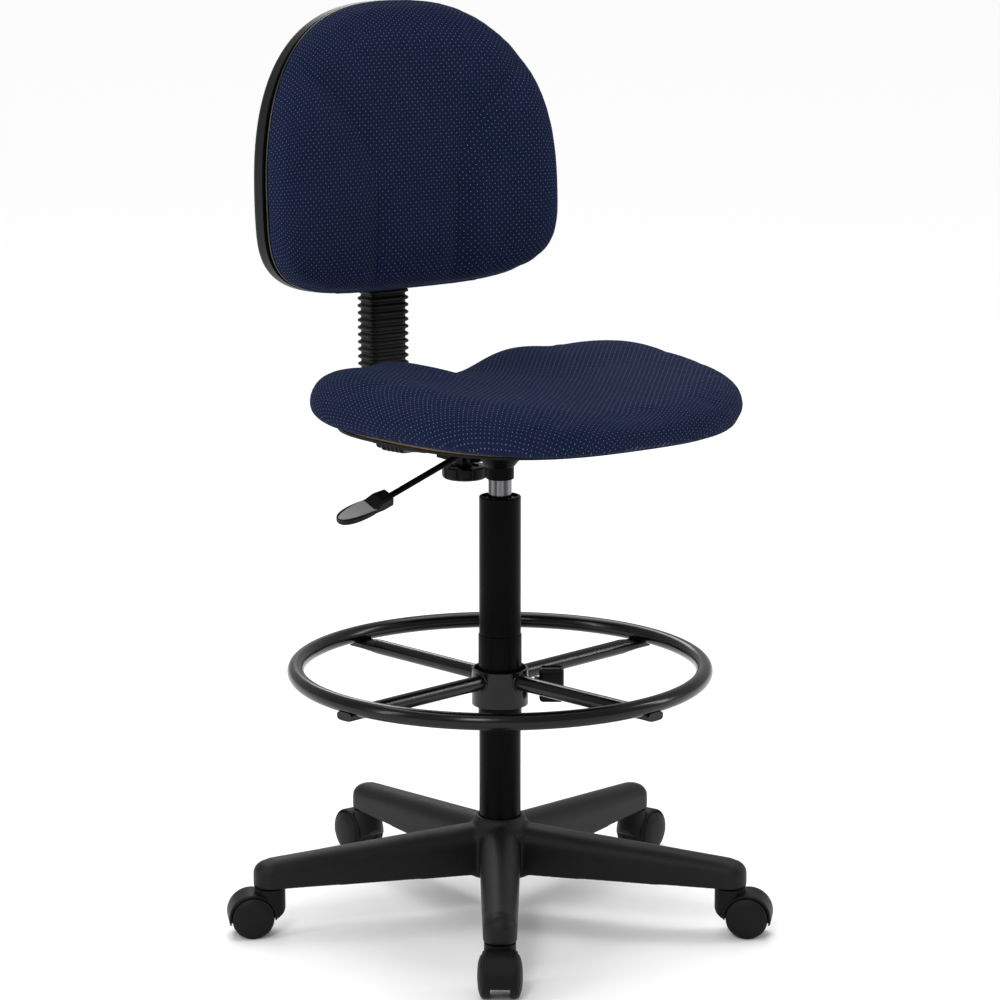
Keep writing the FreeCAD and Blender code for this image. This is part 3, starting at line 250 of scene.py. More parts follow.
def woven_cloth(name):
    """Navy twill with small pale dots in staggered rows, laid out by the 'weave' attribute."""
    material = bpy.data.materials.new(name)
    t = Tree(material)
    weave = t.add("ShaderNodeAttribute", attribute_name="weave").outputs["Vector"]
    split = t.add("ShaderNodeSeparateXYZ")
    t.link(weave, split.inputs[0])
    across, along = split.outputs[0], split.outputs[1]

    near, near_cell = lattice(t, across, along, 0.0)
    far, far_cell = lattice(t, across, along, 0.5)
    reach = t.math("MINIMUM", near, far)
    dot = t.span(reach, DOT_RADIUS * 0.7, DOT_RADIUS * 1.35, 1.0, 0.0)
    nearer = t.math("LESS_THAN", near, far)
    cells = t.add("ShaderNodeMix", data_type="VECTOR")
    vector_in = [s for s in cells.inputs if s.type == "VECTOR"]
    t.link(nearer, [s for s in cells.inputs if s.name == "Factor" and s.type == "VALUE"][0])
    t.link(far_cell, vector_in[0])
    t.link(near_cell, vector_in[1])
    picked = [s for s in cells.outputs if s.type == "VECTOR"][0]
    random = t.add("ShaderNodeTexWhiteNoise", noise_dimensions="3D")
    t.link(picked, random.inputs["Vector"])
    tint = t.add("ShaderNodeValToRGB")
    stops = tint.color_ramp.elements
    stops[0].position, stops[0].color = 0.0, (0.075, 0.115, 0.200, 1)
    stops[1].position, stops[1].color = 1.0, (0.140, 0.110, 0.200, 1)
    for position, colour in ((0.3, (0.055, 0.135, 0.180, 1)), (0.6, (0.160, 0.165, 0.240, 1))):
        stop = stops.new(position)
        stop.color = colour
    t.link(random.outputs["Value"], tint.inputs["Fac"])

    ribs = t.math("SINE", t.math("MULTIPLY", t.math("ADD", across, along), 2 * math.pi / RIB_PITCH))
    picks = t.math("SINE", t.math("MULTIPLY", across, 2 * math.pi / PICK_PITCH))
    yarn = t.math("MULTIPLY_ADD", t.math("MULTIPLY", ribs, picks), 0.5, 0.5)
    fuzz = t.noise(weave, 900.0, 2.0, 0.6)
    cloud = t.noise(weave, 14.0, 4.0, 0.6)
    ground = t.mix(t.span(cloud, 0.35, 0.68, 0.0, 1.0),
                   (0.0042, 0.0080, 0.0245), (0.0066, 0.0088, 0.0300))
    lit_yarn = t.math("MULTIPLY", yarn, t.span(fuzz, 0.3, 0.7, 0.25, 0.9))
    ground = t.mix(lit_yarn, ground, (0.0105, 0.0190, 0.0520))
    shade = t.mix(t.math("MULTIPLY", dot, 0.85), ground, tint.outputs["Color"])
    t.link(shade, t.shader.inputs["Base Color"])
    t.shader.inputs["Roughness"].default_value = 0.86
    t.shader.inputs["Specular IOR Level"].default_value = 0.03
    t.shader.inputs["Sheen Weight"].default_value = 0.012
    t.shader.inputs["Sheen Roughness"].default_value = 0.40
    t.shader.inputs["Sheen Tint"].default_value = (0.45, 0.60, 1.0, 1.0)
    thread = t.math("ADD", t.math("MULTIPLY", yarn, 0.6), t.math("MULTIPLY", fuzz, 0.4))
    rough_cloth = t.bump(thread, 0.00025, 0.8)
    raised = t.bump(dot, 0.0002, 0.6, rough_cloth)
    t.link(raised, t.shader.inputs["Normal"])
    return material


LOOKS = {
    "base_nylon": moulded("base_nylon_look",
                          (0.0056, 0.0056, 0.0058), 0.46, 1000.0, 0.00030, 0.18),
    "caster_nylon": moulded("caster_nylon_look",
                            (0.0040, 0.0040, 0.0042), 0.50, 1500.0, 0.00012, 0.12),
    "wheel_nylon": moulded("wheel_nylon_look",
                           (0.0045, 0.0045, 0.0047), 0.50, 1400.0, 0.00008, 0.15),
    "black_steel": coated("black_steel_look", (0.0020, 0.0020, 0.0021), 0.30, 0.00005, 0.035),
    "hoop_steel": coated("hoop_steel_look", (0.0022, 0.0022, 0.0024), 0.22, 0.00002, 0.22, 0.08),
    "chrome_steel": chrome_with_painted_streaks("chrome_steel_look"),
    "plain_steel": bare_metal("plain_steel_look", (0.45, 0.45, 0.47), 0.34),
    "guide_plastic": moulded("guide_plastic_look", (0.05, 0.05, 0.052), 0.45, 900.0, 0.00004, 0.3),
    "knob_plastic": moulded("knob_plastic_look",
                            (0.0024, 0.0024, 0.0026), 0.38, 1400.0, 0.00010, 0.11),
    "lever_plastic": moulded("lever_plastic_look",
                             (0.0040, 0.0040, 0.0043), 0.40, 1500.0, 0.00010, 0.18),
    "inlay_plastic": moulded("inlay_plastic_look", (0.29, 0.30, 0.31), 0.36, 700.0, 0.00003, 0.35),
    "boot_rubber": moulded("boot_rubber_look",
                           (0.0035, 0.0035, 0.0037), 0.38, 1200.0, 0.00006, 0.15),
    "shell_plastic": moulded("shell_plastic_look",
                             (0.0050, 0.0050, 0.0052), 0.46, 1600.0, 0.00010, 0.13),
    "lip_plastic": moulded("lip_plastic_look",
                           (0.0060, 0.0060, 0.0062), 0.24, 1600.0, 0.00004, 0.5),
    "board_wood": plywood("board_wood_look"),
    "seat_fabric": woven_cloth("seat_fabric_look"),
}


def dress_nodes():
    """Give every CAD node the look of its material slot."""
    for row in frame["record"]["subparts"]:
        mesh = NODES[row["node"]].data
        look = LOOKS[row["material_slot"]]
        if mesh.materials:
            mesh.materials[0] = look
        else:
            mesh.materials.append(look)


# ---------------------------------------------------------------- mesh helpers

def new_piece(name, verts, faces, look, body, replaced=()):
    """A smooth mesh piece that rides on a body, unless body is None."""
    mesh = bpy.data.meshes.new(name)
    mesh.from_pydata([tuple(v) for v in verts], [], faces)
    mesh.validate()
    piece = bpy.data.objects.new(name, mesh)
    bpy.context.scene.collection.objects.link(piece)
    mesh.materials.append(LOOKS[look])
    tidy_normals(piece)
    mesh.shade_smooth()
    if body is not None:
        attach(piece, body)
    if replaced:
        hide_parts(*replaced)
    return piece


def tidy_normals(piece):
    work = bmesh.new()
    work.from_mesh(piece.data)
    bmesh.ops.recalc_face_normals(work, faces=work.faces)
    work.to_mesh(piece.data)
    work.free()


def ring_mesh(rings):
    """Vertices and faces of a skin over closed rings of equal length, capped at both ends."""
    count = len(rings[0])
    verts = [point for ring in rings for point in ring]
    faces = []
    for row in range(len(rings) - 1):
        for step in range(count):
            nxt = (step + 1) % count
            low, high = row * count, (row + 1) * count
            faces.append((low + step, low + nxt, high + nxt, high + step))
    faces.append(tuple(reversed(range(count))))
    faces.append(tuple(range((len(rings) - 1) * count, len(rings) * count)))
    return verts, faces


def loop_face(step, side, steps, sides):
    """Face of a closed tube with the given numbers of steps along it and sides round it."""
    row, next_row = step * sides, (step + 1) % steps * sides
    next_side = (side + 1) % sides
    return row + side, row + next_side, next_row + next_side, next_row + side


def signed_power(number, power):
    return math.copysign(abs(number) ** power, number)


def smoothstep(value, low, high):
    share = np.clip((value - low) / (high - low), 0.0, 1.0)
    return share * share * (3 - 2 * share)


CLOTH_VOXEL = 0.005
CLOTH_PRESSURE = 3.0
CLOTH_FRAMES = 20
SWELL_CAP = 0.004


def inflate(piece, pinned):
    """Puff a closed piece with cloth pressure. Pinned points stay and the cap limits the rest."""
    remesh = piece.modifiers.new("remesh", "REMESH")
    remesh.mode = "VOXEL"
    remesh.voxel_size = CLOTH_VOXEL
    remesh.use_smooth_shade = True
    apply_modifiers(piece)
    start = coordinates(piece)
    group = piece.vertex_groups.new(name="held")
    for index, point in enumerate(start):
        if pinned(point):
            group.add([index], 1.0, "REPLACE")
    cloth = piece.modifiers.new("cloth", "CLOTH")
    settings = cloth.settings
    settings.use_pressure = True
    settings.uniform_pressure_force = CLOTH_PRESSURE
    settings.effector_weights.gravity = 0.0
    settings.vertex_group_mass = "held"
    settings.quality = 5
    settings.tension_stiffness = 30.0
    settings.compression_stiffness = 30.0
    settings.shear_stiffness = 15.0
    settings.bending_stiffness = 4.0
    cloth.point_cache.frame_start = 1
    cloth.point_cache.frame_end = CLOTH_FRAMES
    scene = bpy.context.scene
    for number in range(1, CLOTH_FRAMES + 1):
        scene.frame_set(number)
    apply_modifiers(piece)
    scene.frame_set(1)
    moved = coordinates(piece)
    shift = moved - start
    length = np.linalg.norm(shift, axis=1, keepdims=True)
    limit = SWELL_CAP * np.tanh(length / SWELL_CAP) / np.maximum(length, 1e-9)
    set_coordinates(piece, start + shift * limit)
    piece.data.shade_smooth()


def apply_modifiers(piece):
    graph = bpy.context.evaluated_depsgraph_get()
    mesh = bpy.data.meshes.new_from_object(piece.evaluated_get(graph))
    old = piece.data
    look = old.materials[0]
    piece.modifiers.clear()
    piece.data = mesh
    mesh.materials.clear()
    mesh.materials.append(look)
    bpy.data.meshes.remove(old)


def coordinates(piece):
    flat = np.empty(len(piece.data.vertices) * 3)
    piece.data.vertices.foreach_get("co", flat)
    return flat.reshape(-1, 3)


def set_coordinates(piece, points):
    piece.data.vertices.foreach_set("co", np.asarray(points, float).ravel())
    piece.data.update()


def set_weave(piece, pairs):
    """Store where each point lies on the flat cloth, in metres."""
    data = np.zeros((len(pairs), 3))
    data[:, :2] = pairs
    layer = piece.data.attributes.new("weave", "FLOAT_VECTOR", "POINT")
    layer.data.foreach_set("vector", data.ravel())


# ---------------------------------------------------------------- seat cushion

SEAT_HALF_WIDTH = 0.2470
SEAT_HALF_DEPTH = 0.2140
SEAT_MID_Y = -0.0766
SEAT_TAPER = 0.126
SEAT_POWER = 2.84
SEAT_LOW_Z = 0.6106
SEAT_WIDE_Z = 0.632
SEAT_LOW_INSET = 0.0185
SEAT_CROWN_Z = 0.6705
SEAT_HOLLOW = 0.0165
SEAT_HOLLOW_REACH = 0.125
SEAT_SIDE_RISE = 0.0055
SEAT_REAR_DIP = 0.010
SEAT_REAR_DIP_REACH = 0.050
SEAT_FRONT_FALL = 0.004
SEAT_SIDE_LIFT = 0.0052
SEAT_TAPER_ORIGIN = 0.35
SEAT_HELD_HEIGHT = 0.0055
SEAT_DOME_POWER = 12.0


def seat_plan(angle, share):
    """Point of the seat's plan at an angle, at a share of the way out to its edge."""
    power = 2.0 + (SEAT_POWER - 2.0) * share ** 2
    a = SEAT_HALF_WIDTH * share * signed_power(math.cos(angle), 2 / power)
    b = SEAT_HALF_DEPTH * share * signed_power(math.sin(angle), 2 / power)
    return a * seat_narrow(b), SEAT_MID_Y + b


def seat_crown(x, y):
    """Height of the contoured top: two raised rear lobes and a scoop that opens forward."""
    u = np.abs(x) / SEAT_HALF_WIDTH
    v = (y - SEAT_MID_Y) / SEAT_HALF_DEPTH
    lobe = smoothstep(np.abs(x), 0.016, 0.105) * smoothstep(y, -0.062, 0.030)
    hollow = (1 - lobe) * (0.0020 + SEAT_HOLLOW * np.exp(-(x / SEAT_HOLLOW_REACH) ** 2))
    side = smoothstep(u, 0.50, 0.88) * smoothstep(v, -0.60, 0.20)
    rear_dip = np.exp(-(x / SEAT_REAR_DIP_REACH) ** 2) * smoothstep(v, 0.35, 0.95)
    front_fall = smoothstep(-v, 0.55, 1.05)
    top = SEAT_CROWN_Z + SEAT_SIDE_RISE * side - hollow
    return top - SEAT_REAR_DIP * rear_dip - SEAT_FRONT_FALL * front_fall


def seat_lift(x):
    """The seat curls up slightly towards its two sides."""
    return SEAT_SIDE_LIFT * smoothstep(np.abs(x) / SEAT_HALF_WIDTH, 0.40, 0.95)


def seat_narrow(y):
    """How much the plan narrows towards the front, from the distance y behind the middle."""
    return (1 + SEAT_TAPER * y / SEAT_HALF_DEPTH) / (1 + SEAT_TAPER * SEAT_TAPER_ORIGIN)


def seat_cushion():
    """Underside, side and top as rings, then puffed with cloth pressure."""
    turns, under_rows, rows = 192, 14, 44
    rings = []
    for row in range(under_rows):
        climb = row / (under_rows - 1) * math.pi / 2
        height = SEAT_LOW_Z + (SEAT_WIDE_Z - SEAT_LOW_Z) * (1 - math.cos(climb))
        out = 1 - SEAT_LOW_INSET * (1 - math.sin(climb)) / SEAT_HALF_DEPTH
        rings.append([(*seat_plan(2 * math.pi * s / turns, out), height) for s in range(turns)])
    for row in range(1, rows):
        out = math.cos(row / rows * math.pi / 2) ** 0.45
        ring = []
        for s in range(turns):
            x, y = seat_plan(2 * math.pi * s / turns, out)
            dome = (1 - out ** SEAT_DOME_POWER) ** (1 / 2.0)
            ring.append((x, y, SEAT_WIDE_Z + (float(seat_crown(x, y)) - SEAT_WIDE_Z) * dome))
        rings.append(ring)
    rings = [[(x, y, z + float(seat_lift(x))) for x, y, z in ring] for ring in rings]
    verts, faces = ring_mesh(rings)
    piece = new_piece("seat_cushion_cover", verts, faces, "seat_fabric", "seat", ["seat_cushion"])
    inflate(piece, lambda p: p[2] < SEAT_LOW_Z + SEAT_HELD_HEIGHT)
    points = coordinates(piece)
    points[:, 2] = np.maximum(points[:, 2], SEAT_LOW_Z)
    set_coordinates(piece, points)
    set_weave(piece, seat_weave(points))
    finer = piece.modifiers.new("subdivision", "SUBSURF")
    finer.levels = 1
    finer.render_levels = 1


def seat_weave(points):
    """Cloth coordinates: the plan on top, pushed outward by the length of cloth down the side."""
    centre = np.array([0.0, SEAT_MID_Y])
    plan = points[:, :2] - centre
    angle = np.arctan2(plan[:, 1] / SEAT_HALF_DEPTH, plan[:, 0] / SEAT_HALF_WIDTH)
    normal = np.stack([np.cos(angle) / SEAT_HALF_WIDTH, np.sin(angle) / SEAT_HALF_DEPTH], 1)
    normal /= np.linalg.norm(normal, axis=1, keepdims=True)
    across = np.abs(plan[:, 0] / seat_narrow(plan[:, 1]) / SEAT_HALF_WIDTH)
    size = across ** SEAT_POWER + np.abs(plan[:, 1] / SEAT_HALF_DEPTH) ** SEAT_POWER
    out = size ** (1 / SEAT_POWER)
    edge = smoothstep(out, 0.80, 0.99)
    height = points[:, 2] - seat_lift(points[:, 0])
    fall = np.clip(SEAT_CROWN_Z - 0.004 - np.maximum(height, SEAT_WIDE_Z), 0.0, None)
    under = np.clip(SEAT_WIDE_Z - height, 0.0, None)
    drop = np.clip(under / (SEAT_WIDE_Z - SEAT_LOW_Z), 0.0, 1.0)
    inset = SEAT_LOW_INSET * (1 - np.sqrt(1 - drop ** 2))
    extra = (fall + 1.05 * np.hypot(under, inset) + inset) * edge
    return plan + normal * extra[:, None]


# ---------------------------------------------------------------- back cushion

BACK_HALF_WIDTH = 0.2045
BACK_UP = 0.237
BACK_DOWN = 0.1115
BACK_MID_Z = 0.848
BACK_RIM_Y = 0.217
BACK_BOW = 0.032
BACK_RECLINE = math.radians(3)
BACK_FRONT = 0.046
BACK_SIDE_DEPTH = 0.0205
BACK_INSET = 0.0012
BACK_UPPER_POWER = 2.47
BACK_LOWER_POWER = 3.53
BACK_HELD_DEPTH = 0.010
SEAM_MIDDLE = 0.058
SEAM_SPREAD = 0.092
SEAM_HEIGHT = 0.155
SEAM_SLOPE = 1.31
LIP_RADIUS = 0.0016
LIP_FORWARD = 0.0008


def back_plan(angle, inset, share):
    """Point (x, z) of the back's outline at an angle, measured from its widest level."""
    rise = math.sin(angle)
    power = BACK_UPPER_POWER if rise > 0 else BACK_LOWER_POWER
    power = 2.0 + (power - 2.0) * share
    height = (BACK_UP if rise > 0 else BACK_DOWN) - inset
    x = (BACK_HALF_WIDTH - inset) * share * signed_power(math.cos(angle), 2 / power)
    z = height * share * signed_power(rise, 2 / power)
    return x, z


def seam_x(z):
    """Distance of the two sewn seams from the middle of the back at a height."""
    return SEAM_MIDDLE + SEAM_SPREAD * np.clip(z / SEAM_HEIGHT, 0.0, None) ** 2.2


def back_relief(x, z):
    """Forward relief of the front: the bolsters with their valleys, and the stitched grooves."""
    gap = np.abs(x) - seam_x(z)
    slope = SEAM_SLOPE * np.clip(z / SEAM_HEIGHT, 0.0, 1.5) ** 1.2
    across = gap / np.sqrt(1 + slope ** 2)
    sharper = 1.0 + 0.9 * smoothstep(-z, -0.03, 0.05)
    bolster = smoothstep(across, 0.0, 0.040) * 0.0060
    valley = -0.0052 * sharper * np.exp(-(across / 0.013) ** 2)
    groove = -0.0018 * np.exp(-(across / 0.0020) ** 2)
    return bolster + valley, groove


def back_place(x, depth, z):
    """From (x, forward depth, height) on the upright back to its reclined place in the frame."""
    y = -depth - BACK_BOW * (x / BACK_HALF_WIDTH) ** 2
    cos, sin = math.cos(-BACK_RECLINE), math.sin(-BACK_RECLINE)
    return np.stack([x, BACK_RIM_Y + y * cos - z * sin, BACK_MID_Z + y * sin + z * cos], -1)


def back_unplace(points):
    """The reverse of back_place: (x, forward depth, height) on the upright back."""
    y, z = points[:, 1] - BACK_RIM_Y, points[:, 2] - BACK_MID_Z
    cos, sin = math.cos(BACK_RECLINE), math.sin(BACK_RECLINE)
    level_y, level_z = y * cos - z * sin, y * sin + z * cos
    return points[:, 0], -(level_y + BACK_BOW * (points[:, 0] / BACK_HALF_WIDTH) ** 2), level_z


def back_cushion():
    """Side and front as rings, puffed with cloth pressure, with the stitched grooves cut last."""
    turns, side_rows, rows = 192, 12, 46
    rings = []
    for row in range(side_rows):
        share = row / (side_rows - 1)
        swell = 0.0016 * math.sin(share * math.pi)
        ring = []
        for s in range(turns):
            x, z = back_plan(2 * math.pi * s / turns, BACK_INSET - swell, 1.0)
            ring.append(back_place(np.float64(x), 0.0005 + 0.020 * share, np.float64(z)))
        rings.append(ring)
    for row in range(1, rows):
        out = math.cos(row / rows * math.pi / 2) ** 0.5
        ring = []
        for s in range(turns):
            x, z = back_plan(2 * math.pi * s / turns, BACK_INSET, out)
            dome = (1 - out ** 8.0) ** (1 / 2.1)
            relief, _ = back_relief(np.float64(x), np.float64(z))
            rise = BACK_FRONT - BACK_SIDE_DEPTH + float(relief) * 0.8
            depth = BACK_SIDE_DEPTH + rise * dome
            ring.append(back_place(np.float64(x), depth, np.float64(z)))
        rings.append(ring)
    verts, faces = ring_mesh(rings)
    piece = new_piece("back_cushion_cover", verts, faces, "seat_fabric", "back", ["back_cushion"])
    inflate(piece, lambda p: back_unplace(np.array([p]))[1][0] < BACK_HELD_DEPTH)
    modifier = piece.modifiers.new("finer", "SUBSURF")
    modifier.levels = 1
    apply_modifiers(piece)
    points = coordinates(piece)
    x, depth, z = back_unplace(points)
    front = smoothstep(depth, 0.026, 0.038)
    _, groove = back_relief(x, z)
    depth = depth + groove * front
    points = back_place(x, depth, z)
    set_coordinates(piece, points)
    set_weave(piece, back_weave(x, depth, z))
    piece.data.shade_smooth()


def back_weave(x, depth, z):
    """Cloth coordinates: the front face, pushed outward by the length of cloth round the edge."""
    height = np.where(z > 0, BACK_UP, BACK_DOWN)
    angle = np.arctan2(z / height, x / BACK_HALF_WIDTH)
    normal = np.stack([np.cos(angle) / BACK_HALF_WIDTH, np.sin(angle) / height], 1)
    normal /= np.linalg.norm(normal, axis=1, keepdims=True)
    power = np.where(z > 0, BACK_UPPER_POWER, BACK_LOWER_POWER)
    out = (np.abs(x / BACK_HALF_WIDTH) ** power + np.abs(z / height) ** power) ** (1 / power)
    edge = smoothstep(out, 0.80, 0.99)
    fall = np.clip(BACK_FRONT + 0.004 - depth, 0.0, None)
    return np.stack([x, z], 1) + normal * (fall * edge)[:, None]


def shell_lip():
    """Rolled lip round the front edge of the shell, which frames the cushion."""
    turns, sides = 192, 12
    verts, faces = [], []
    for s in range(turns):
        angle = 2 * math.pi * s / turns
        x, z = back_plan(angle, LIP_RADIUS, 1.0)
        inner_x, inner_z = back_plan(angle, LIP_RADIUS + 0.010, 1.0)
        inward = Vector((inner_x - x, inner_z - z)).normalized()
        for side in range(sides):
            roll = 2 * math.pi * side / sides
            reach = LIP_RADIUS * math.cos(roll)
            depth = LIP_FORWARD + LIP_RADIUS * math.sin(roll)
            verts.append(back_place(np.float64(x + inward.x * reach), depth,
                                    np.float64(z + inward.y * reach)))
    for s in range(turns):
        for side in range(sides):
            faces.append(loop_face(s, side, turns, sides))
    new_piece("back_shell_lip", verts, faces, "lip_plastic", "back")


# ---------------------------------------------------------------- rubber boot

BOOT_FRONT_Y = 0.132
BOOT_RIDGE_Y = 0.166
BOOT_TOP_Z = 0.753
BAR_LEG_Z = 0.553
BAR_UPRIGHT_Y = 0.245
BAR_BEND = 0.042
BOOT_PITCH = 0.0087
BOOT_HALF_WIDTH = 0.0262
BOOT_HALF_DEPTH = 0.0142
BOOT_FOLD_RISE = 0.0032
BOOT_TIP_WIDTH = 0.0218
BOOT_TIP_DEPTH = 0.0075
BOOT_FIRST_FOLD_DEPTH = 0.74
FOLD_PROFILE = ((0.0, 0.0), (0.14, 0.05), (0.24, 0.55), (0.34, 0.93),
                (0.48, 1.0), (0.62, 0.93), (0.72, 0.55), (0.84, 0.05))


def bar_station(distance):
    """Point on the bar's centre line and how far it has turned upward, in radians."""
    level = BAR_UPRIGHT_Y - BAR_BEND - BOOT_FRONT_Y
    quarter = BAR_BEND * math.pi / 2
    if distance <= level:
        return Vector((0, BOOT_FRONT_Y + distance, BAR_LEG_Z)), 0.0
    if distance <= level + quarter:
        turn = (distance - level) / BAR_BEND
        return Vector((0, BAR_UPRIGHT_Y - BAR_BEND + BAR_BEND * math.sin(turn),
                       BAR_LEG_Z + BAR_BEND - BAR_BEND * math.cos(turn))), turn
    height = BAR_LEG_Z + BAR_BEND + distance - level - quarter
    return Vector((0, BAR_UPRIGHT_Y, height)), math.pi / 2


def boot_ring(distance, half_width, half_depth):
    """Rounded rectangle across the bar at a distance along it."""
    power, count = 7.0, 72
    point, turn = bar_station(distance)
    across = Vector((0, -math.sin(turn), math.cos(turn)))
    ring = []
    for step in range(count):
        angle = 2 * math.pi * step / count
        a = half_width * signed_power(math.cos(angle), 2 / power)
        b = half_depth * signed_power(math.sin(angle), 2 / power)
        ring.append(point + Vector((a, 0, 0)) + across * b)
    return ring


def boot():
    """Ribbed rubber boot along the bar, built as one fixed shape (the real boot stretches when the
    back is raised).
    """
    total = (BAR_UPRIGHT_Y - BAR_BEND - BOOT_FRONT_Y + BAR_BEND * math.pi / 2
             + BOOT_TOP_Z - BAR_LEG_Z - BAR_BEND)
    start = BOOT_RIDGE_Y - BOOT_FRONT_Y
    folds = int((total - start) / BOOT_PITCH)
    step = (total - start) / folds
    rings = [boot_ring(0.0, 0.0206, 0.0064), boot_ring(0.0, BOOT_TIP_WIDTH, BOOT_TIP_DEPTH)]
    for share in (0.25, 0.5, 0.75, 0.93):
        ease = float(smoothstep(share, 0.0, 1.0))
        half_width = BOOT_TIP_WIDTH + (BOOT_HALF_WIDTH - BOOT_TIP_WIDTH) * ease
        rings.append(boot_ring(start * share, half_width, BOOT_TIP_DEPTH + 0.0030 * ease))
    for fold in range(folds):
        for share, lift in FOLD_PROFILE:
            distance = start + (fold + share) * step
            grown = min(1.0, (distance - start) / 0.070)
            full = BOOT_FIRST_FOLD_DEPTH + (1 - BOOT_FIRST_FOLD_DEPTH) * grown
            rise = BOOT_FOLD_RISE * lift
            half_depth = (BOOT_HALF_DEPTH + rise) * full
            rings.append(boot_ring(distance, BOOT_HALF_WIDTH + rise, half_depth))
    rings.append(boot_ring(total, BOOT_HALF_WIDTH, BOOT_HALF_DEPTH))
    verts, faces = ring_mesh(rings)
    piece = new_piece("bar_boot", verts, faces, "boot_rubber", None, ["bellows"])
    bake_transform(piece)


# ---------------------------------------------------------------- foot ring welds

SPOKE_FIRST_ANGLE = math.radians(-81)
WELD_RADIUS = 0.0096
WELD_BEAD = 0.0016


def ring_welds():
    """A lumpy weld bead round each spoke where it meets the hub."""
    hub_low, hub_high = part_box("ring_hub")
    hub_radius = (hub_high.x - hub_low.x) / 2
    spoke_low, spoke_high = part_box("ring_spokes")
    middle = (spoke_low.z + spoke_high.z) / 2
    steps, sides = 56, 10
    verts, faces = [], []
    for spoke in range(4):
        turn = SPOKE_FIRST_ANGLE + math.pi / 2 * spoke
        base = len(verts)
        for step in range(steps):
            angle = 2 * math.pi * step / steps
            across, up = WELD_RADIUS * math.cos(angle), WELD_RADIUS * math.sin(angle)
            out = math.sqrt(hub_radius ** 2 - across ** 2)
            bead = WELD_BEAD * (1 + 0.22 * math.sin(11 * angle + spoke))
            for side in range(sides):
                roll = 2 * math.pi * side / sides
                reach = bead * math.cos(roll)
                x, y = out + bead * math.sin(roll), across + reach * math.cos(angle)
                verts.append((x * math.cos(turn) - y * math.sin(turn),
                              x * math.sin(turn) + y * math.cos(turn),
                              middle + up + reach * math.sin(angle)))
        for step in range(steps):
            for side in range(sides):
                faces.append([base + corner for corner in loop_face(step, side, steps, sides)])
    new_piece("ring_welds", verts, faces, "hoop_steel", "ring")


# ---------------------------------------------------------------- softened CAD nodes

def soften():
    """Blend the arms of the star into its hub and break the sharp edges of the hard parts."""
    star = NODES["base_star"]
    remesh = star.modifiers.new("one_skin", "REMESH")
    remesh.mode = "VOXEL"
    remesh.voxel_size = 0.0022
    remesh.use_smooth_shade = True
    relax = star.modifiers.new("relax", "SMOOTH")
    relax.factor = 0.5
    relax.iterations = 6
    widths = {"ring_hub": 0.0006, "ring_knob": 0.0005, "seat_plate": 0.0008,
              "bar_channel": 0.0006, "lever_handle": 0.0007, "back_bracket": 0.0006,
              "depth_knob": 0.0006, "back_knob": 0.0006, "seat_pan": 0.0005}
    for number in range(1, ARM_COUNT + 1):
        widths["caster_hood_%d" % number] = 0.0009
    for node, width in widths.items():
        bevel = NODES[node].modifiers.new("edges", "BEVEL")
        bevel.width = width
        bevel.segments = 2
        bevel.limit_method = "ANGLE"
        bevel.angle_limit = math.radians(35)
        bevel.harden_normals = False
    for node, obj in NODES.items():
        if node == "base_star":
            continue
        smooth_by_angle(obj, 32)


def smooth_by_angle(obj, degrees):
    """Smooth shading with creases kept at sharp edges; only shading flags change, not the mesh."""
    mesh = obj.data
    mesh.shade_smooth()
    work = bmesh.new()
    work.from_mesh(mesh)
    limit = math.radians(degrees)
    sharp = []
    for edge in work.edges:
        crisp = len(edge.link_faces) != 2 or edge.calc_face_angle(0.0) > limit
        sharp.append(crisp)
    work.free()
    layer = mesh.attributes.get("sharp_edge")
    layer = layer or mesh.attributes.new("sharp_edge", "BOOLEAN", "EDGE")
    layer.data.foreach_set("value", sharp)


# ---------------------------------------------------------------- studio

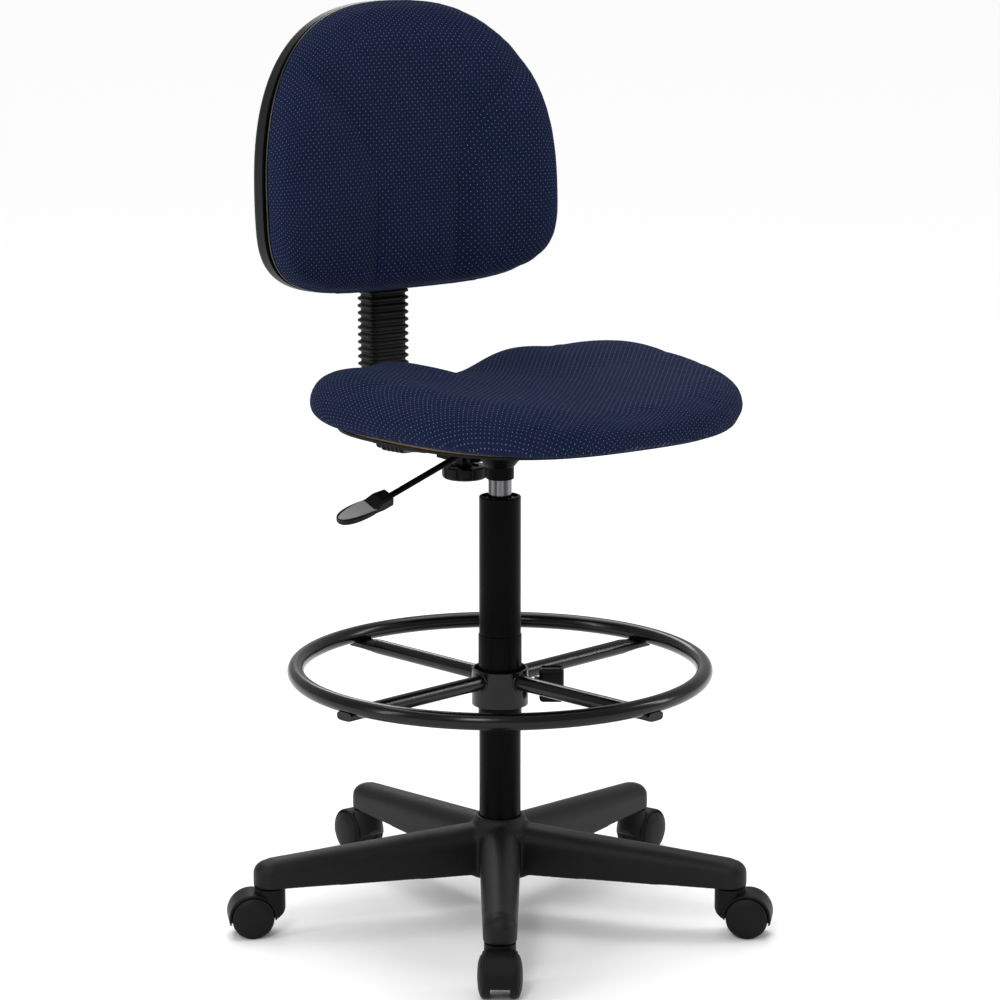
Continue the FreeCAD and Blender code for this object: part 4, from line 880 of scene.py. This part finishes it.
def studio():
    """Pale floor, white surroundings, a broad overhead light and four soft lamps."""
    bpy.ops.mesh.primitive_plane_add(size=60, location=(0, 0, 0))
    floor = bpy.context.object
    floor.name = "studio_floor"
    material = bpy.data.materials.new("floor_look")
    t = Tree(material)
    t.shader.inputs["Base Color"].default_value = (0.92, 0.92, 0.92, 1)
    t.shader.inputs["Roughness"].default_value = 0.9
    floor.data.materials.append(material)

    world = bpy.data.worlds.new("studio")
    bpy.context.scene.world = world
    world.use_nodes = True
    background = world.node_tree.nodes["Background"]
    background.inputs["Color"].default_value = (1, 1, 1, 1)
    background.inputs["Strength"].default_value = 0.47

    sun = bpy.data.lights.new("overhead", "SUN")
    sun.energy = 1.95
    sun.angle = math.radians(50)
    overhead = bpy.data.objects.new("overhead", sun)
    overhead.rotation_euler = (math.radians(-12), math.radians(8), 0)
    bpy.context.scene.collection.objects.link(overhead)

    lamps = (
        ("key", (-2.4, -2.0, 2.6), 0.7, 1.6, 46.0),
        ("side", (2.6, -1.5, 1.7), 0.35, 1.9, 26.0),
        ("left", (-2.9, 0.4, 1.5), 0.30, 1.9, 20.0),
        ("rear", (1.2, 2.6, 2.4), 0.8, 1.8, 22.0),
    )
    for name, place, wide, tall, power in lamps:
        data = bpy.data.lights.new(name, "AREA")
        data.shape = "RECTANGLE"
        data.size = wide
        data.size_y = tall
        data.energy = power
        lamp = bpy.data.objects.new(name, data)
        lamp.location = place
        aim = Vector((0, 0, 0.55)) - Vector(place)
        lamp.rotation_euler = aim.to_track_quat("-Z", "Y").to_euler()
        bpy.context.scene.collection.objects.link(lamp)


CAMERA_PLACE = (-2.3018, -3.1681, 1.314)
CAMERA_TILT = math.radians(78.368)
CAMERA_TURN = math.radians(-36.0)


def camera():
    data = bpy.data.cameras.new("camera")
    data.lens = 121.4
    data.sensor_width = 36.0
    data.clip_end = 100.0
    holder = bpy.data.objects.new("camera", data)
    holder.location = CAMERA_PLACE
    holder.rotation_euler = (CAMERA_TILT, 0.0, CAMERA_TURN)
    bpy.context.scene.collection.objects.link(holder)
    bpy.context.scene.camera = holder


bpy.context.scene.view_settings.view_transform = "Standard"
dress_nodes()
soften()
seat_cushion()
back_cushion()
shell_lip()
boot()
ring_welds()
studio()
camera()
